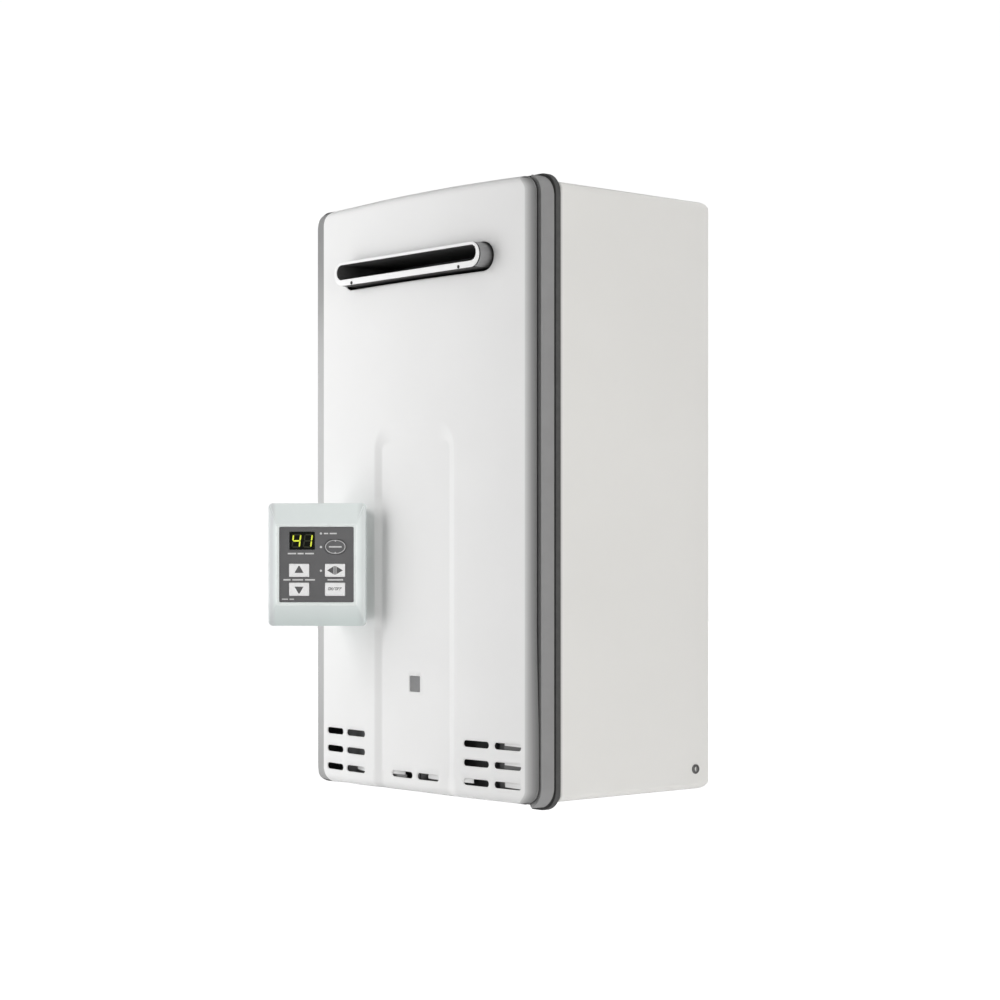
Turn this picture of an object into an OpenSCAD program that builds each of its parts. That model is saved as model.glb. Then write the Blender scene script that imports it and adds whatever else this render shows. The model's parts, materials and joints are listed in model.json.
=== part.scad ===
// Wall-hung outdoor gas water heater with a forced-draught burner, a finned
// copper heat exchanger and a wired remote controller on an angled mount.
// Millimetres. +Z is up, +Y points into the wall, the front looks along -Y.
// The origin is the centre of the four wall bolts, on the wall's surface.

/* [Case] */
// Width of the case and the front cover
body_w = 352; // [346:1:360]
// Height of the rear case
case_h = 597; // [594:1:600]
// Depth of the rear case, from its back sheet to its front flange
case_d = 205; // [203:1:209]
// Thickness of the case and cover sheet
sheet = 1.2; // [0.8:0.1:1.5]
// Gap between the wall and the back of the case
wall_gap = 11; // [9:1:13]

/* [Front cover] */
// Height of the front cover
cover_h = 602; // [600:1:603]
// How far the front bows out between its bevelled edges
bow = 8; // [6:0.5:10]
// Corner radius of the cover
corner_r = 18; // [16:1:22]
// Depth of the arched centre recess
recess_depth = 2.4; // [1.5:0.1:3]
// Height of the top of the arched recess above the origin
recess_top = 73; // [60:1:85]
// Length of one intake slot
slot_l = 33.5; // [30:0.5:34]
// Height of one intake slot
slot_h = 7; // [5:0.5:8]
// Vertical distance between rows of intake slots
slot_pitch = 18.7; // [17:0.1:19]

/* [Flue] */
// Outside width of the flue outlet
flue_w = 232; // [224:1:234]
// Outside height of the flue outlet
flue_h = 24.7; // [23:0.1:27]
// How far the flue outlet stands in front of the cover's middle
flue_reach = 11.5; // [8:0.5:16]

/* [Wall brackets] */
// Distance between the two wall bolts of one bracket
bolt_x = 200; // [180:1:220]
// Distance between the upper and the lower wall bolts
bolt_z = 480; // [470:1:490]
// Diameter of a wall bolt hole
bolt_d = 9; // [7:0.5:10]

/* [Connections] */
// Outside diameter of the threaded connections
thread_d = 26.4; // [24:0.1:27]
// Free length of a threaded connection
thread_l = 18; // [15:1:19]

/* [Controller] */
// Width of the controller
ctl_w = 100.4; // [96:0.1:101]
// Height of the controller
ctl_h = 125.4; // [122:0.1:127]
// Depth of the controller
ctl_d = 18; // [17:0.5:20]
// Travel of a controller button
key_travel = 1; // [0.5:0.1:1.2]

/* [Hidden] */
$fn = 64;
hw = body_w / 2;
case_z = -1.4;                // middle of the case's height
y_back = -wall_gap;
y_case = y_back - case_d;     // front flange of the case
y_seal = y_case - 8;          // front of the seal
y_trim = y_seal - 17;         // front of the side trims
y_edge = y_trim - 4;          // outer edge of the cover
y_rim = y_edge - 4;           // front of the bow at the bevel's start
y_front = y_rim - bow;        // middle of the front
x_rim = hw - 14;
bow_r = (x_rim * x_rim + bow * bow) / (2 * bow);
bow_y = y_front + bow_r;
x_flue = 0;
z_flue = 229.15;
x_rec = 0;                    // centre of the recess
rec_hw = 58;                  // half width of the recess at mid wall
// Stack of hood, heat exchanger, chamber and burner
sx0 = -111; sx1 = 129; sy0 = -190; sy1 = -50;
// Water, gas and gland positions on the connection plate
cold_p = [146, -100]; hot_p = [-142, -110]; gas_p = [-45, -112]; gland_p = [62, -120];
z_plate = -271;
// Controller: centre of its face, turned 45 degrees towards the right
ctl_p = [-90, -310.5, -72];
key_w = 20.6; key_h = 13.2;

// ---------- shapes ----------
module rrect(w, h, r) {
  square([w - 2 * r, h], center = true);
  square([w, h - 2 * r], center = true);
  for (i = [-1, 1], j = [-1, 1]) translate([i * (w / 2 - r), j * (h / 2 - r)]) circle(r);
}
module stadium(l, h) {
  square([l - h, h], center = true);
  for (i = [-1, 1]) translate([i * (l - h) / 2, 0]) circle(h / 2);
}
module xz(y0, y1) translate([0, y1, 0]) rotate([90, 0, 0]) linear_extrude(y1 - y0) children();
module yz(x0, x1) translate([x0, 0, 0]) rotate([90, 0, 90]) linear_extrude(x1 - x0) children();
module xy(z0, z1) translate([0, 0, z0]) linear_extrude(z1 - z0) children();
module box(a, b) translate(a) cube(b - a);
module ycyl(p, r, y0, y1) translate([p[0], y1, p[1]]) rotate([90, 0, 0]) cylinder(r = r, h = y1 - y0);
module xcyl(p, r, x0, x1) translate([x0, p[0], p[1]]) rotate([0, 90, 0]) cylinder(r = r, h = x1 - x0);
module zcyl(p, r, z0, z1) translate([p[0], p[1], z0]) cylinder(r = r, h = z1 - z0);
module hexz(p, af, z0, z1) translate([p[0], p[1], z0]) rotate([0, 0, 30]) cylinder(r = af / sqrt(3), h = z1 - z0, $fn = 6);

function unit(v) = v / norm(v);
module rod(a, b, r) {
  d = b - a;
  l = norm(d);
  translate(a) rotate([0, acos(d[2] / l), atan2(d[1], d[0])]) cylinder(r = r, h = l);
}
// A tube with square corners rounded to the radius br, along points joined at right angles
module tube(p, r, br) {
  n = len(p);
  for (i = [0:n - 2]) {
    d = unit(p[i + 1] - p[i]);
    rod(p[i] + (i == 0 ? [0, 0, 0] : d * br), p[i + 1] - (i == n - 2 ? [0, 0, 0] : d * br), r);
  }
  for (i = [1:n - 2]) {
    a = unit(p[i] - p[i - 1]);
    b = unit(p[i + 1] - p[i]);
    c = p[i] - a * br + b * br;
    m = cross(-b, a);
    multmatrix([[-b[0], a[0], m[0], c[0]], [-b[1], a[1], m[1], c[1]], [-b[2], a[2], m[2], c[2]], [0, 0, 0, 1]])
      rotate_extrude(angle = 90) translate([br, 0]) circle(r);
  }
}
// A pan-head screw along +Y from its head at y
module pan_screw(x, y, z, r_head, h_head, r_shank, l) {
  ycyl([x, z], r_head, y, y + h_head);
  ycyl([x, z], r_shank, y + h_head, y + h_head + l);
}
// The controller's own frame: x to its right, y into it, z up
module ctl() translate(ctl_p) rotate([0, 0, 45]) children();

// ---------- case ----------
module case_solid(t) translate([0, 0, case_z]) {
  intersection() {
    xz(y_case - 1, y_back - t) rrect(body_w - 2 * t, case_h - 2 * t, 8 - t);
    yz(-hw, hw) translate([y_back - 150, 0]) rrect(300 - 2 * t, case_h - 2 * t, 12 - t);
    xy(-case_h, case_h) translate([0, y_back - 150]) rrect(body_w - 2 * t, 300 - 2 * t, 2 - t);
  }
}
module case_shell() color([0.86, 0.86, 0.84]) {
  difference() {
    case_solid(0);
    intersection() {
      case_solid(sheet);
      box([-hw, y_case + sheet, -case_h], [hw, 0, case_h]);
    }
    xz(y_case - 2, y_case + sheet + 1) translate([0, case_z]) rrect(body_w - 40, case_h - 40, 8);
    box([-400, y_case - 5, -400], [400, y_case, 400]);
    box([-166, -180, case_z - case_h / 2 - 1], [166, -40, case_z - case_h / 2 + sheet + 1]);
    for (i = [-1, 1]) xcyl([-31, -279], 2.6, i * hw - 3, i * hw + 3);
    for (i = [-1, 1], j = [-1, 1]) ycyl([i * 110, j * (bolt_z / 2 + 33)], 2.6, y_back - 3, y_back + 1);
  }
}
// Tray for the connections, let into the bottom of the case: a plate in three lengths with four walls tacked under it
module connection_plate() color([0.62, 0.63, 0.64]) {
  zb = case_z - case_h / 2 + sheet;
  difference() {
    for (e = [[-165, 18], [18.05, 104], [104.05, 165]]) box([e[0], -179, z_plate], [e[1], -41, z_plate + 1.5]);
    for (p = [cold_p, hot_p, gas_p]) zcyl(p, thread_d / 2 + 0.4, z_plate - 1, z_plate + 3);
    zcyl(gland_p, 8.3, z_plate - 1, z_plate + 3);
  }
  for (i = [-1, 1]) box([i > 0 ? 163.5 : -165, -177.4, zb], [i > 0 ? 165 : -163.5, -42.6, z_plate - 0.05]);
  for (y = [-179, -42.5]) box([-165, y, zb], [165, y + 1.5, z_plate - 0.05]);
  for (y = [-186, -40.9]) box([-163.9, y, zb], [163.9, y + 6.9, zb + 1.5]);
}
module case_screws() color([0.5, 0.5, 0.5])
  for (i = [-1, 1]) {
    difference() {
      xcyl([-31, -279], 4.6, i > 0 ? hw : -hw - 2, i > 0 ? hw + 2 : -hw);
      for (a = [45, -45]) translate([i * (hw + 2), -31, -279]) rotate([a, 0, 0]) cube([1.6, 5.6, 0.9], center = true);
    }
    xcyl([-31, -279], 2.4, i > 0 ? hw - 9 : -hw, i > 0 ? hw : -hw + 9);
  }
// Hat-section wall bracket: a plate on the wall with two bolt holes, and feet screwed to the case
module wall_bracket(z) {
  difference() {
    translate([0, 0, z]) {
      box([-130, -2, -26], [130, 0, 26]);
      for (j = [-1, 1]) {
        box([-130, y_back, j > 0 ? 24 : -26], [130, 0, j > 0 ? 26 : -24]);
        box([-130, y_back, j > 0 ? 24 : -42], [130, y_back + 2, j > 0 ? 42 : -24]);
      }
    }
    for (i = [-1, 1]) {
      ycyl([i * bolt_x / 2, z], bolt_d / 2, -5, 2);
      ycyl([i * 110, sign(z) * (bolt_z / 2 + 33)], 2.7, y_back - 1, y_back + 3);
    }
  }
}
module upper_wall_bracket() color([0.68, 0.69, 0.7]) wall_bracket(bolt_z / 2);
module lower_wall_bracket() color([0.68, 0.69, 0.7]) wall_bracket(-bolt_z / 2);
module bracket_screws() color([0.6, 0.6, 0.6])
  for (i = [-1, 1], j = [-1, 1]) {
    ycyl([i * 110, j * (bolt_z / 2 + 33)], 4.8, y_back + 2, y_back + 5);
    ycyl([i * 110, j * (bolt_z / 2 + 33)], 2.4, y_back - 8, y_back + 2);
  }

// ---------- seal and side trims ----------
module cover_seal() color([0.24, 0.24, 0.24])
  difference() {
    union() {
      xz(y_seal, y_case) rrect(body_w + 0.2, cover_h + 9.4, corner_r + 3.5);
      intersection() {
        xz(y_seal, y_case) translate([0, -1.2]) rrect(body_w + 0.2, cover_h + 12.2, corner_r + 3.5);
        for (i = [-1, 1]) box([i > 0 ? 159 : -400, -400, -400], [i > 0 ? 400 : -159, 0, 0]);
      }
    }
    xz(y_seal - 1, y_case + 1) rrect(body_w - 36, cover_h - 36, 8);
  }
module side_trim(i) {
  intersection() {
    difference() {
      xz(y_trim, y_seal) translate([0, -1.3]) rrect(body_w + 0.6, cover_h + 7.2, corner_r + 4);
      xz(y_trim - 1, y_seal + 1) rrect(body_w - 12, cover_h - 8, corner_r - 5);
    }
    box([i > 0 ? 161 : -400, -400, -400], [i > 0 ? 400 : -161, 0, 400]);
  }
}
module left_trim() color([0.57, 0.57, 0.57]) side_trim(-1);
module right_trim() color([0.57, 0.57, 0.57]) side_trim(1);

// ---------- front cover ----------
// Plan of the front: a bowed face whose last 14 mm roll back to the edge
module cover_plan(t) {
  bevel_r = 35.8;
  intersection() {
    translate([0, bow_y]) circle(bow_r - t, $fn = 400);
    translate([-hw + t, y_front]) square([body_w - 2 * t, -y_front]);
    union() {
      translate([-x_rim, y_front]) square([2 * x_rim, -y_front]);
      translate([-hw, y_edge + t]) square([body_w, 200]);
      for (i = [-1, 1]) translate([i * (x_rim - 4.8), y_rim + 35.5]) circle(bevel_r - t);
    }
  }
}
// Side view of the front: rolled top and bottom edges
module cover_side(t) {
  rt = 16;
  zc = cover_h / 2 - 15.7;
  intersection() {
    translate([y_front, -cover_h / 2 + t]) square([-y_front, cover_h - 2 * t]);
    union() {
      translate([y_front, -zc]) square([-y_front, 2 * zc]);
      translate([y_edge + t, -cover_h / 2]) square([200, cover_h]);
      for (j = [-1, 1]) translate([y_front + rt, j * zc]) circle(rt - t);
    }
  }
}
module cover_solid(t) {
  intersection() {
    xy(-cover_h / 2, cover_h / 2) cover_plan(t);
    yz(-hw, hw) cover_side(t);
    xz(y_front - 1, y_edge + 3) rrect(body_w - 2 * t, cover_h - 2 * t, corner_r - t);
  }
}
module recess_outline(d) {
  w = rec_hw + d;
  translate([x_rec, 0]) {
    translate([-w, -cover_h]) square([2 * w, cover_h + recess_top - 22]);
    translate([-w + 24, 0]) square([2 * w - 48, recess_top - 6 + d]);
    for (i = [-1, 1]) translate([i * (w - 24), recess_top - 30 + d]) circle(24);
  }
}
module recess_cut(d) {
  difference() {
    xz(y_front - 5, y_front + 30) recess_outline(d);
    translate([0, bow_y, -cover_h]) cylinder(r = bow_r - recess_depth - (d > 0 ? sheet : 0), h = 2 * cover_h, $fn = 400);
  }
}
module slot_at(x, z) xz(y_front - 5, y_edge + 8) translate([x, z]) stadium(slot_l, slot_h);
module front_cover() color([0.93, 0.93, 0.93]) {
  difference() {
    union() {
      difference() {
        cover_solid(0);
        recess_cut(0);
        difference() {
          intersection() {
            cover_solid(sheet);
            box([-400, -400, -400], [400, y_edge + 1, 400]);
          }
          recess_cut(sheet);
        }
        xz(y_edge + sheet, y_edge + 9) rrect(body_w + 9, cover_h + 9, corner_r);
        xz(y_edge - 2, y_edge + 9) rrect(body_w - 17.4, cover_h - 13.4, corner_r - 6);
      }
      difference() {
        xz(y_edge, y_seal - 0.6) rrect(body_w - 15, cover_h - 11, corner_r - 6.5);
        xz(y_edge - 1, y_seal) rrect(body_w - 17.4, cover_h - 13.4, corner_r - 7.7);
      }
    }
    xz(y_front - 5, y_edge + 9) translate([x_flue, z_flue]) stadium(flue_w + 8.6, flue_h + 6.3);
    for (i = [-1, 1], k = [0:2]) {
      slot_at(i * 96.3, -246.4 - k * slot_pitch);
      slot_at(i * 138.5, -246.4 - k * slot_pitch);
    }
    for (i = [-1, 1]) slot_at(x_rec + i * 20.7, -246.4 - 2 * slot_pitch);
    xz(y_front - 5, y_edge + 5) translate([x_rec, -192]) rrect(16.6, 16, 1);
    for (i = [-1, 1], j = [-1, 1]) zcyl([i * 120, y_edge + 12], 2.4, j > 0 ? 280 : -310, j > 0 ? 310 : -280);
  }
}
module cover_screws() color([0.7, 0.7, 0.7])
  for (i = [-1, 1], j = [-1, 1]) {
    zs = cover_h / 2 - 5.5;
    zcyl([i * 120, y_edge + 12], 4, j > 0 ? zs : -zs - 2.2, j > 0 ? zs + 2.2 : -zs);
    zcyl([i * 120, y_edge + 12], 2.1, j > 0 ? zs - 8 : -zs, j > 0 ? zs : -zs + 8);
  }
module sight_window() color([0.5, 0.5, 0.5]) {
  yw = y_front + recess_depth;
  xz(yw + 0.9, yw + sheet + 1.2) translate([x_rec, -192]) rrect(16.2, 15.6, 0.9);
  xz(yw + sheet + 0.15, yw + sheet + 2) translate([x_rec, -192]) rrect(20, 19.4, 1.5);
}

// ---------- flue ----------
module flue_terminal() color([0.8, 0.8, 0.8]) {
  yf = y_front - flue_reach;
  difference() {
    union() {
      xz(yf, sy0) translate([x_flue, z_flue]) stadium(flue_w, flue_h);
      xz(sy0 - 2, sy0) translate([x_flue, z_flue]) stadium(flue_w + 16, flue_h + 20);
    }
    xz(yf - 1, sy0 + 1) translate([x_flue, z_flue + 1.6]) stadium(flue_w - 8.4, flue_h - 9.4);
    for (i = [-1, 1]) ycyl([x_flue + i * 86, z_flue - flue_h / 2 + 2], 0.9, yf - 1, yf + 5);
  }
}
module flue_screws() color([0.3, 0.3, 0.3])
  for (i = [-1, 1]) {
    ycyl([x_flue + i * 86, z_flue - flue_h / 2 + 2], 1.4, y_front - flue_reach - 0.7, y_front - flue_reach);
    ycyl([x_flue + i * 86, z_flue - flue_h / 2 + 2], 0.8, y_front - flue_reach, y_front - flue_reach + 4);
  }
module flue_guard() color([0.08, 0.08, 0.08])
  translate([x_flue, 0, z_flue + 1.6]) {
    yg = -205;
    difference() {
      xz(yg, yg + 3) stadium(flue_w - 9, flue_h - 10);
      for (k = [-9:9]) box([k * 10.6 - 4.2, yg - 1, -5.2], [k * 10.6 + 4.2, yg + 4, 5.2]);
    }
  }
module exhaust_hood() color([0.74, 0.75, 0.76])
  difference() {
    union() {
      box([-127, sy0, 188], [131, sy1, 262]);
      box([-127, sy0, 188], [sx1 + 8, sy1 + 8, 189.5]);
    }
    box([-125.5, sy0 + 1.5, 189.5], [129.5, sy1 - 1.5, 260.5]);
    box([sx0 + 1.5, sy0 + 1.5, 187], [sx1 - 1.5, sy1 - 1.5, 190]);
    xz(sy0 - 1, sy0 + 3) translate([x_flue, z_flue + 1.6]) stadium(flue_w - 8.4, flue_h - 9.4);
  }

// ---------- heat exchanger ----------
hx_y = [-70, -95, -120, -145, -170];
z_hx = 150;
tube_r = 8;
module heat_exchanger_core() color([0.72, 0.42, 0.27]) {
  for (y = hx_y) xcyl([y, z_hx], tube_r, sx0 - 4, sx1 + 4);
  for (k = [0:22]) box([sx0 + 8 + k * 10, sy0 + 4, 124], [sx0 + 9.2 + k * 10, sy1 - 4, 182]);
}
module heat_exchanger_housing() color([0.76, 0.46, 0.3])
  difference() {
    union() {
      box([sx0, sy0, 118], [sx1, sy1, 188]);
      for (z = [136, 164]) yz(sx0 + 20, sx1 - 20) translate([sy0 + 0.6, z]) circle(3);
      box([sx0 - 7, sy0, 118], [sx1 + 7, sy1 + 7, 119.5]);
    }
    box([sx0 + 1.6, sy0 + 1.6, 117], [sx1 - 1.6, sy1 - 1.6, 189]);
    for (y = hx_y) xcyl([y, z_hx], tube_r + 0.3, sx0 - 3, sx1 + 3);
  }
module u_bend(x, ya, side) {
  yc = ya - 12.5;
  translate([x, yc, z_hx]) rotate([0, side > 0 ? 0 : 180, 0]) rotate([0, 0, -90]) rotate_extrude(angle = 180) translate([12.5, 0]) circle(tube_r);
}
module return_bends() color([0.78, 0.5, 0.34]) {
  u_bend(sx0 - 4, -70, -1);
  u_bend(sx0 - 4, -120, -1);
  u_bend(sx1 + 4, -95, 1);
  u_bend(sx1 + 4, -145, 1);
}
module combustion_chamber() color([0.7, 0.44, 0.3])
  difference() {
    union() {
      box([sx0, sy0, -22], [sx1, sy1, 118]);
      box([sx0 - 7, sy0, 116.5], [sx1 + 7, sy1 + 7, 118]);
      box([sx0 - 7, sy0 - 7, -22], [sx1 + 7, sy1 + 7, -20.5]);
      for (x = [-62, 80], z = [84, -8]) box([x - 12, sy1 - 1, z], [x + 12, y_back - sheet - 0.05, z + 2]);
    }
    box([sx0 + 1.4, sy0 + 1.4, -23], [sx1 - 1.4, sy1 - 1.4, 119]);
    for (x = [-28, 9, 46]) ycyl([x, -4], 4.4, sy0 - 2, sy0 + 3);
  }

// ---------- burner ----------
bar_x = [for (k = [0:11]) sx0 + 16 + k * 18.9];
module burner_box() color([0.62, 0.63, 0.64])
  difference() {
    box([sx0 + 5, sy0 + 5, -68], [sx1 - 5, sy1 - 5, -22.4]);
    box([sx0 + 6.5, sy0 + 6.5, -66.5], [sx1 - 6.5, sy1 - 6.5, -21]);
    for (x = bar_x) ycyl([x, -52], 4.2, sy0 + 3, sy0 + 8);
    box([fan_p[0] + 2, -140, -70], [fan_p[0] + 58, -82, -65]);
  }
module burner_bars() color([0.55, 0.55, 0.54])
  for (x = bar_x) difference() {
    union() {
      box([x - 5.5, sy0 + 16, -60], [x + 5.5, sy1 - 12, -34]);
      box([x - 4, sy0 + 12, -60], [x + 4, sy1 - 12, -44]);
    }
    box([x - 2.4, sy0 + 20, -40], [x + 2.4, sy1 - 16, -33]);
    ycyl([x, -52], 3.6, sy0 + 10, sy0 + 30);
  }
module gas_manifold() color([0.72, 0.73, 0.74])
  difference() {
    union() {
      box([sx0 + 8, -205, -60], [sx1 - 8, -191, -44]);
      zcyl([gas_p[0], -198], 9, -64, -60);
    }
    for (x = bar_x) ycyl([x, -52], 2.55, -194, -190);
  }
module gas_nozzles() color([0.8, 0.65, 0.3])
  for (x = bar_x) {
    ycyl([x, -52], 2.5, -193.5, -191);
    translate([x, -188, -52]) rotate([90, 0, 0]) cylinder(r = 3.6, h = 3, $fn = 6);
    ycyl([x, -52], 2.1, -188, -182);
  }

// ---------- fan ----------
fan_p = [49, -140];
module fan_housing() color([0.66, 0.67, 0.68])
  difference() {
    union() {
      ycyl(fan_p, 62, -146, -76);
      box([fan_p[0], -146, -140], [fan_p[0] + 62, -76, -68.2]);
    }
    ycyl(fan_p, 60, -144, -78);
    box([fan_p[0] + 2, -144, -140], [fan_p[0] + 60, -78, -67]);
    ycyl(fan_p, 31, -80, -75);
    ycyl(fan_p, 8, -148, -143);
  }
module fan_motor() color([0.2, 0.2, 0.21])
  difference() {
    union() {
      ycyl(fan_p, 30, -180, -149);
      ycyl(fan_p, 40, -149, -146.2);
      ycyl(fan_p, 12, -184, -180);
    }
    ycyl(fan_p, 3.05, -185, -145);
  }
module fan_impeller() color([0.5, 0.52, 0.54]) {
  difference() {
    union() {
      ycyl(fan_p, 50, -141, -139);
      ycyl(fan_p, 9, -139, -120);
      for (k = [0:23]) translate([fan_p[0], 0, fan_p[1]]) rotate([0, k * 15, 0])
        box([41, -139.5, -0.7], [49, -88, 0.7]);
      difference() {
        ycyl(fan_p, 50, -90, -87);
        ycyl(fan_p, 41.5, -91, -86);
      }
    }
    ycyl(fan_p, 2.9, -143, -110);
  }
  ycyl(fan_p, 3, -186, -118);
}

// ---------- gas train ----------
module gas_valve_body() color([0.66, 0.66, 0.67])
  difference() {
    union() {
      box([-76, -150, -206], [-16, -92, -132]);
      zcyl(gas_p, 15, -212, -205);
      box([-60, -156, -196], [-30, -150, -166]);
      box([-58, -92.5, -180], [-32, y_back - sheet - 0.05, -176]);
    }
    xcyl([-134, -150], 4.96, -90, -54);
    box([-54, -142, -160], [-46, -126, -140]);
  }
module solenoid_coils() color([0.16, 0.16, 0.17]) {
  difference() {
    xcyl([-134, -150], 13, -108, -76.2);
    xcyl([-134, -150], 5.3, -109, -75);
  }
  xcyl([-106, -150], 13, -108, -76.2);
  xcyl([-120, -186], 13, -108, -76.2);
}
module gas_valve_plunger() color([0.75, 0.76, 0.78]) {
  xcyl([-134, -150], 4.9, -104, -56);
  xcyl([-134, -150], 2.2, -112, -104);
}
module gas_riser_pipe() color([0.74, 0.75, 0.76]) {
  tube([[gas_p[0], gas_p[1], -131.8], [gas_p[0], gas_p[1], -82], [gas_p[0], -198, -82], [gas_p[0], -198, -64.2]], 7, 14);
  zcyl(gas_p, 11, -131.8, -126);
}
module fitting(p, z1) {
  zcyl(p, thread_d / 2, z_plate - 4 - thread_l, z_plate + 9);
  hexz(p, 33, z_plate - 4, z_plate - 0.2);
  hexz(p, 33, z_plate + 1.7, z_plate + 9);
  zcyl(p, 10, z_plate + 9, z1);
}
module bored_fitting(p, z1) difference() {
  fitting(p, z1);
  zcyl(p, 8, z_plate - 40, z1 - 3);
}
module gas_inlet_fitting() color([0.76, 0.66, 0.38]) bored_fitting(gas_p, -212.2);
module cold_inlet_fitting() color([0.76, 0.62, 0.34]) bored_fitting(cold_p, -246);
module hot_outlet_fitting() color([0.76, 0.62, 0.34]) {
  bored_fitting(hot_p, -242);
  ycyl([hot_p[0], -252], 6.5, -130, -118);
}

// ---------- water side ----------
module water_valve_body() color([0.75, 0.6, 0.33]) {
  difference() {
    union() {
      zcyl(cold_p, 15, -245.8, -158);
      ycyl([cold_p[0], -190], 11, -124, -100);
      ycyl([cold_p[0], -228], 9, -122, -100);
      zcyl(cold_p, 17, -214, -204);
    }
    zcyl(cold_p, 10, -242, -164);
    ycyl([cold_p[0], -190], 3.06, -130, -100);
    ycyl([cold_p[0], -228], 5, -130, -100);
  }
  // Bars that carry the turbine's pivots
  for (z = [-240, -207]) difference() {
    box([cold_p[0] - 10.5, cold_p[1] - 2.6, z], [cold_p[0] + 10.5, cold_p[1] + 2.6, z + 3]);
    zcyl(cold_p, 1.55, z - 1, z + 4);
  }
}
module flow_turbine() color([0.85, 0.85, 0.82]) {
  zcyl(cold_p, 1.5, -239.5, -204.5);
  zcyl(cold_p, 2.6, -236, -208);
  for (k = [0:5]) translate([cold_p[0], cold_p[1], 0]) rotate([0, 0, k * 60]) box([1.5, -0.6, -232], [9.4, 0.6, -212]);
}
module servo_spindle() color([0.8, 0.8, 0.8]) {
  ycyl([cold_p[0], -190], 3, -136, -96);
  xcyl([cold_p[1], -190], 9.4, cold_p[0] - 0.8, cold_p[0] + 0.8);
}
module flow_servo_motor() color([0.88, 0.88, 0.86])
  difference() {
    union() {
      box([cold_p[0] - 19, -152, -208], [cold_p[0] + 19, -124.2, -172]);
      ycyl([cold_p[0], -190], 12, -158, -152);
    }
    ycyl([cold_p[0], -190], 3.3, -140, -120);
  }
module service_plugs() color([0.15, 0.15, 0.16]) {
  ycyl([cold_p[0], -228], 4.9, -122, -110.2);
  ycyl([cold_p[0], -228], 11, -132, -122.2);
  ycyl([hot_p[0], -252], 8.5, -140, -130.2);
}
module cold_pipe() color([0.76, 0.48, 0.32])
  tube([[cold_p[0], cold_p[1], -157.8], [cold_p[0], cold_p[1], 36], [cold_p[0], -201, 36], [-124, -201, 36], [-124, -36, 36],
    [154, -36, 36], [154, -36, z_hx], [154, -70, z_hx], [sx1 + 4.2, -70, z_hx]], 6, 14);
module hot_pipe() color([0.76, 0.48, 0.32])
  tube([[sx0 - 4.2, -170, z_hx], [hot_p[0], -170, z_hx], [hot_p[0], -170, -200], [hot_p[0], hot_p[1], -200], [hot_p[0], hot_p[1], -241.8]], 7, 14);
module electrodes() color([0.93, 0.92, 0.88])
  for (x = [-28, 9, 46]) {
    ycyl([x, -4], 4.1, -204, -176);
    ycyl([x, -4], 1.2, -176, -140);
    ycyl([x, -4], 1.8, -207, -204);
    box([x - 9, sy0 - 2.2, -11], [x + 9, sy0 - 0.05, 3]);
  }
module spark_unit() color([0.13, 0.13, 0.14]) {
  box([-hw + sheet + 0.05, -150, -62], [-155, -104, 6]);
  xcyl([-128, -30], 5, -155, -151.9);
}
module ignition_lead() color([0.55, 0.18, 0.14])
  tube([[-151.8, -128, -30], [-127, -128, -30], [-127, -214, -30], [-28, -214, -30], [-28, -214, -4], [-28, -207.1, -4]], 2.4, 6);
module temperature_sensors() color([0.8, 0.7, 0.45]) {
  ycyl([84, 150], 9, sy0 - 4, sy0 - 0.05);
  ycyl([84, 150], 5, sy0 - 6, sy0 - 4);
  xcyl([-170, 90], 4, -155, -149.1);
}
module frost_heaters() color([0.92, 0.91, 0.87]) {
  box([-150, -187, -120], [-134, -177.1, -84]);
  box([138, -116, -60], [154, -106.1, -24]);
}
// ---------- electrics ----------
module control_box() color([0.86, 0.86, 0.83]) {
  difference() {
    box([-60, -214, -232], [96, -190, -92]);
    box([-57.5, -215, -229.5], [93.5, -192, -94.5]);
  }
  box([-58, -190.5, -188], [-32, -156.05, -184]);
  for (p = [[-48, -110], [84, -110], [-48, -214], [84, -214]]) ycyl(p, 4, -198.95, -191.5);
}
module circuit_board() color([0.12, 0.38, 0.2]) {
  box([-56, -201, -228], [92, -199, -96]);
  for (p = [[-40, -120, 26, 22, 10], [0, -124, 18, 16, 8], [40, -118, 30, 14, 9], [72, -130, 20, 34, 11], [-34, -180, 30, 40, 7], [20, -190, 36, 20, 6], [66, -200, 26, 18, 9]])
    box([p[0] - p[2] / 2, -201 - p[4], p[1] - p[3] / 2], [p[0] + p[2] / 2, -201, p[1] + p[3] / 2]);
}
module wiring_harness() color([0.15, 0.15, 0.16]) {
  tube([[84, -212, -91.9], [84, -212, 150], [84, -196.1, 150]], 1.8, 8);
  tube([[-60.1, -202, -150], [-92, -202, -150], [-92, -147.1, -150]], 1.8, 8);
  tube([[96.1, -202, -190], [cold_p[0], -202, -190], [cold_p[0], -158.1, -190]], 1.8, 8);
  tube([[gland_p[0], -202, -232.1], [gland_p[0], -202, -246], [gland_p[0], gland_p[1], -246], [gland_p[0], gland_p[1], -260.9]], 3, 6);
  tube([[-60.1, -206, -112], [-164, -206, -112], [-164, -127, -112], [-164, -127, -62.1]], 1.8, 8);
}
module cable_gland() color([0.12, 0.12, 0.12])
  difference() {
    union() {
      zcyl(gland_p, 8, z_plate - 12, z_plate + 10);
      hexz(gland_p, 22, z_plate - 6, z_plate - 0.2);
      hexz(gland_p, 22, z_plate + 1.7, z_plate + 6);
    }
    zcyl(gland_p, 4, z_plate - 20, z_plate + 20);
  }

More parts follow.
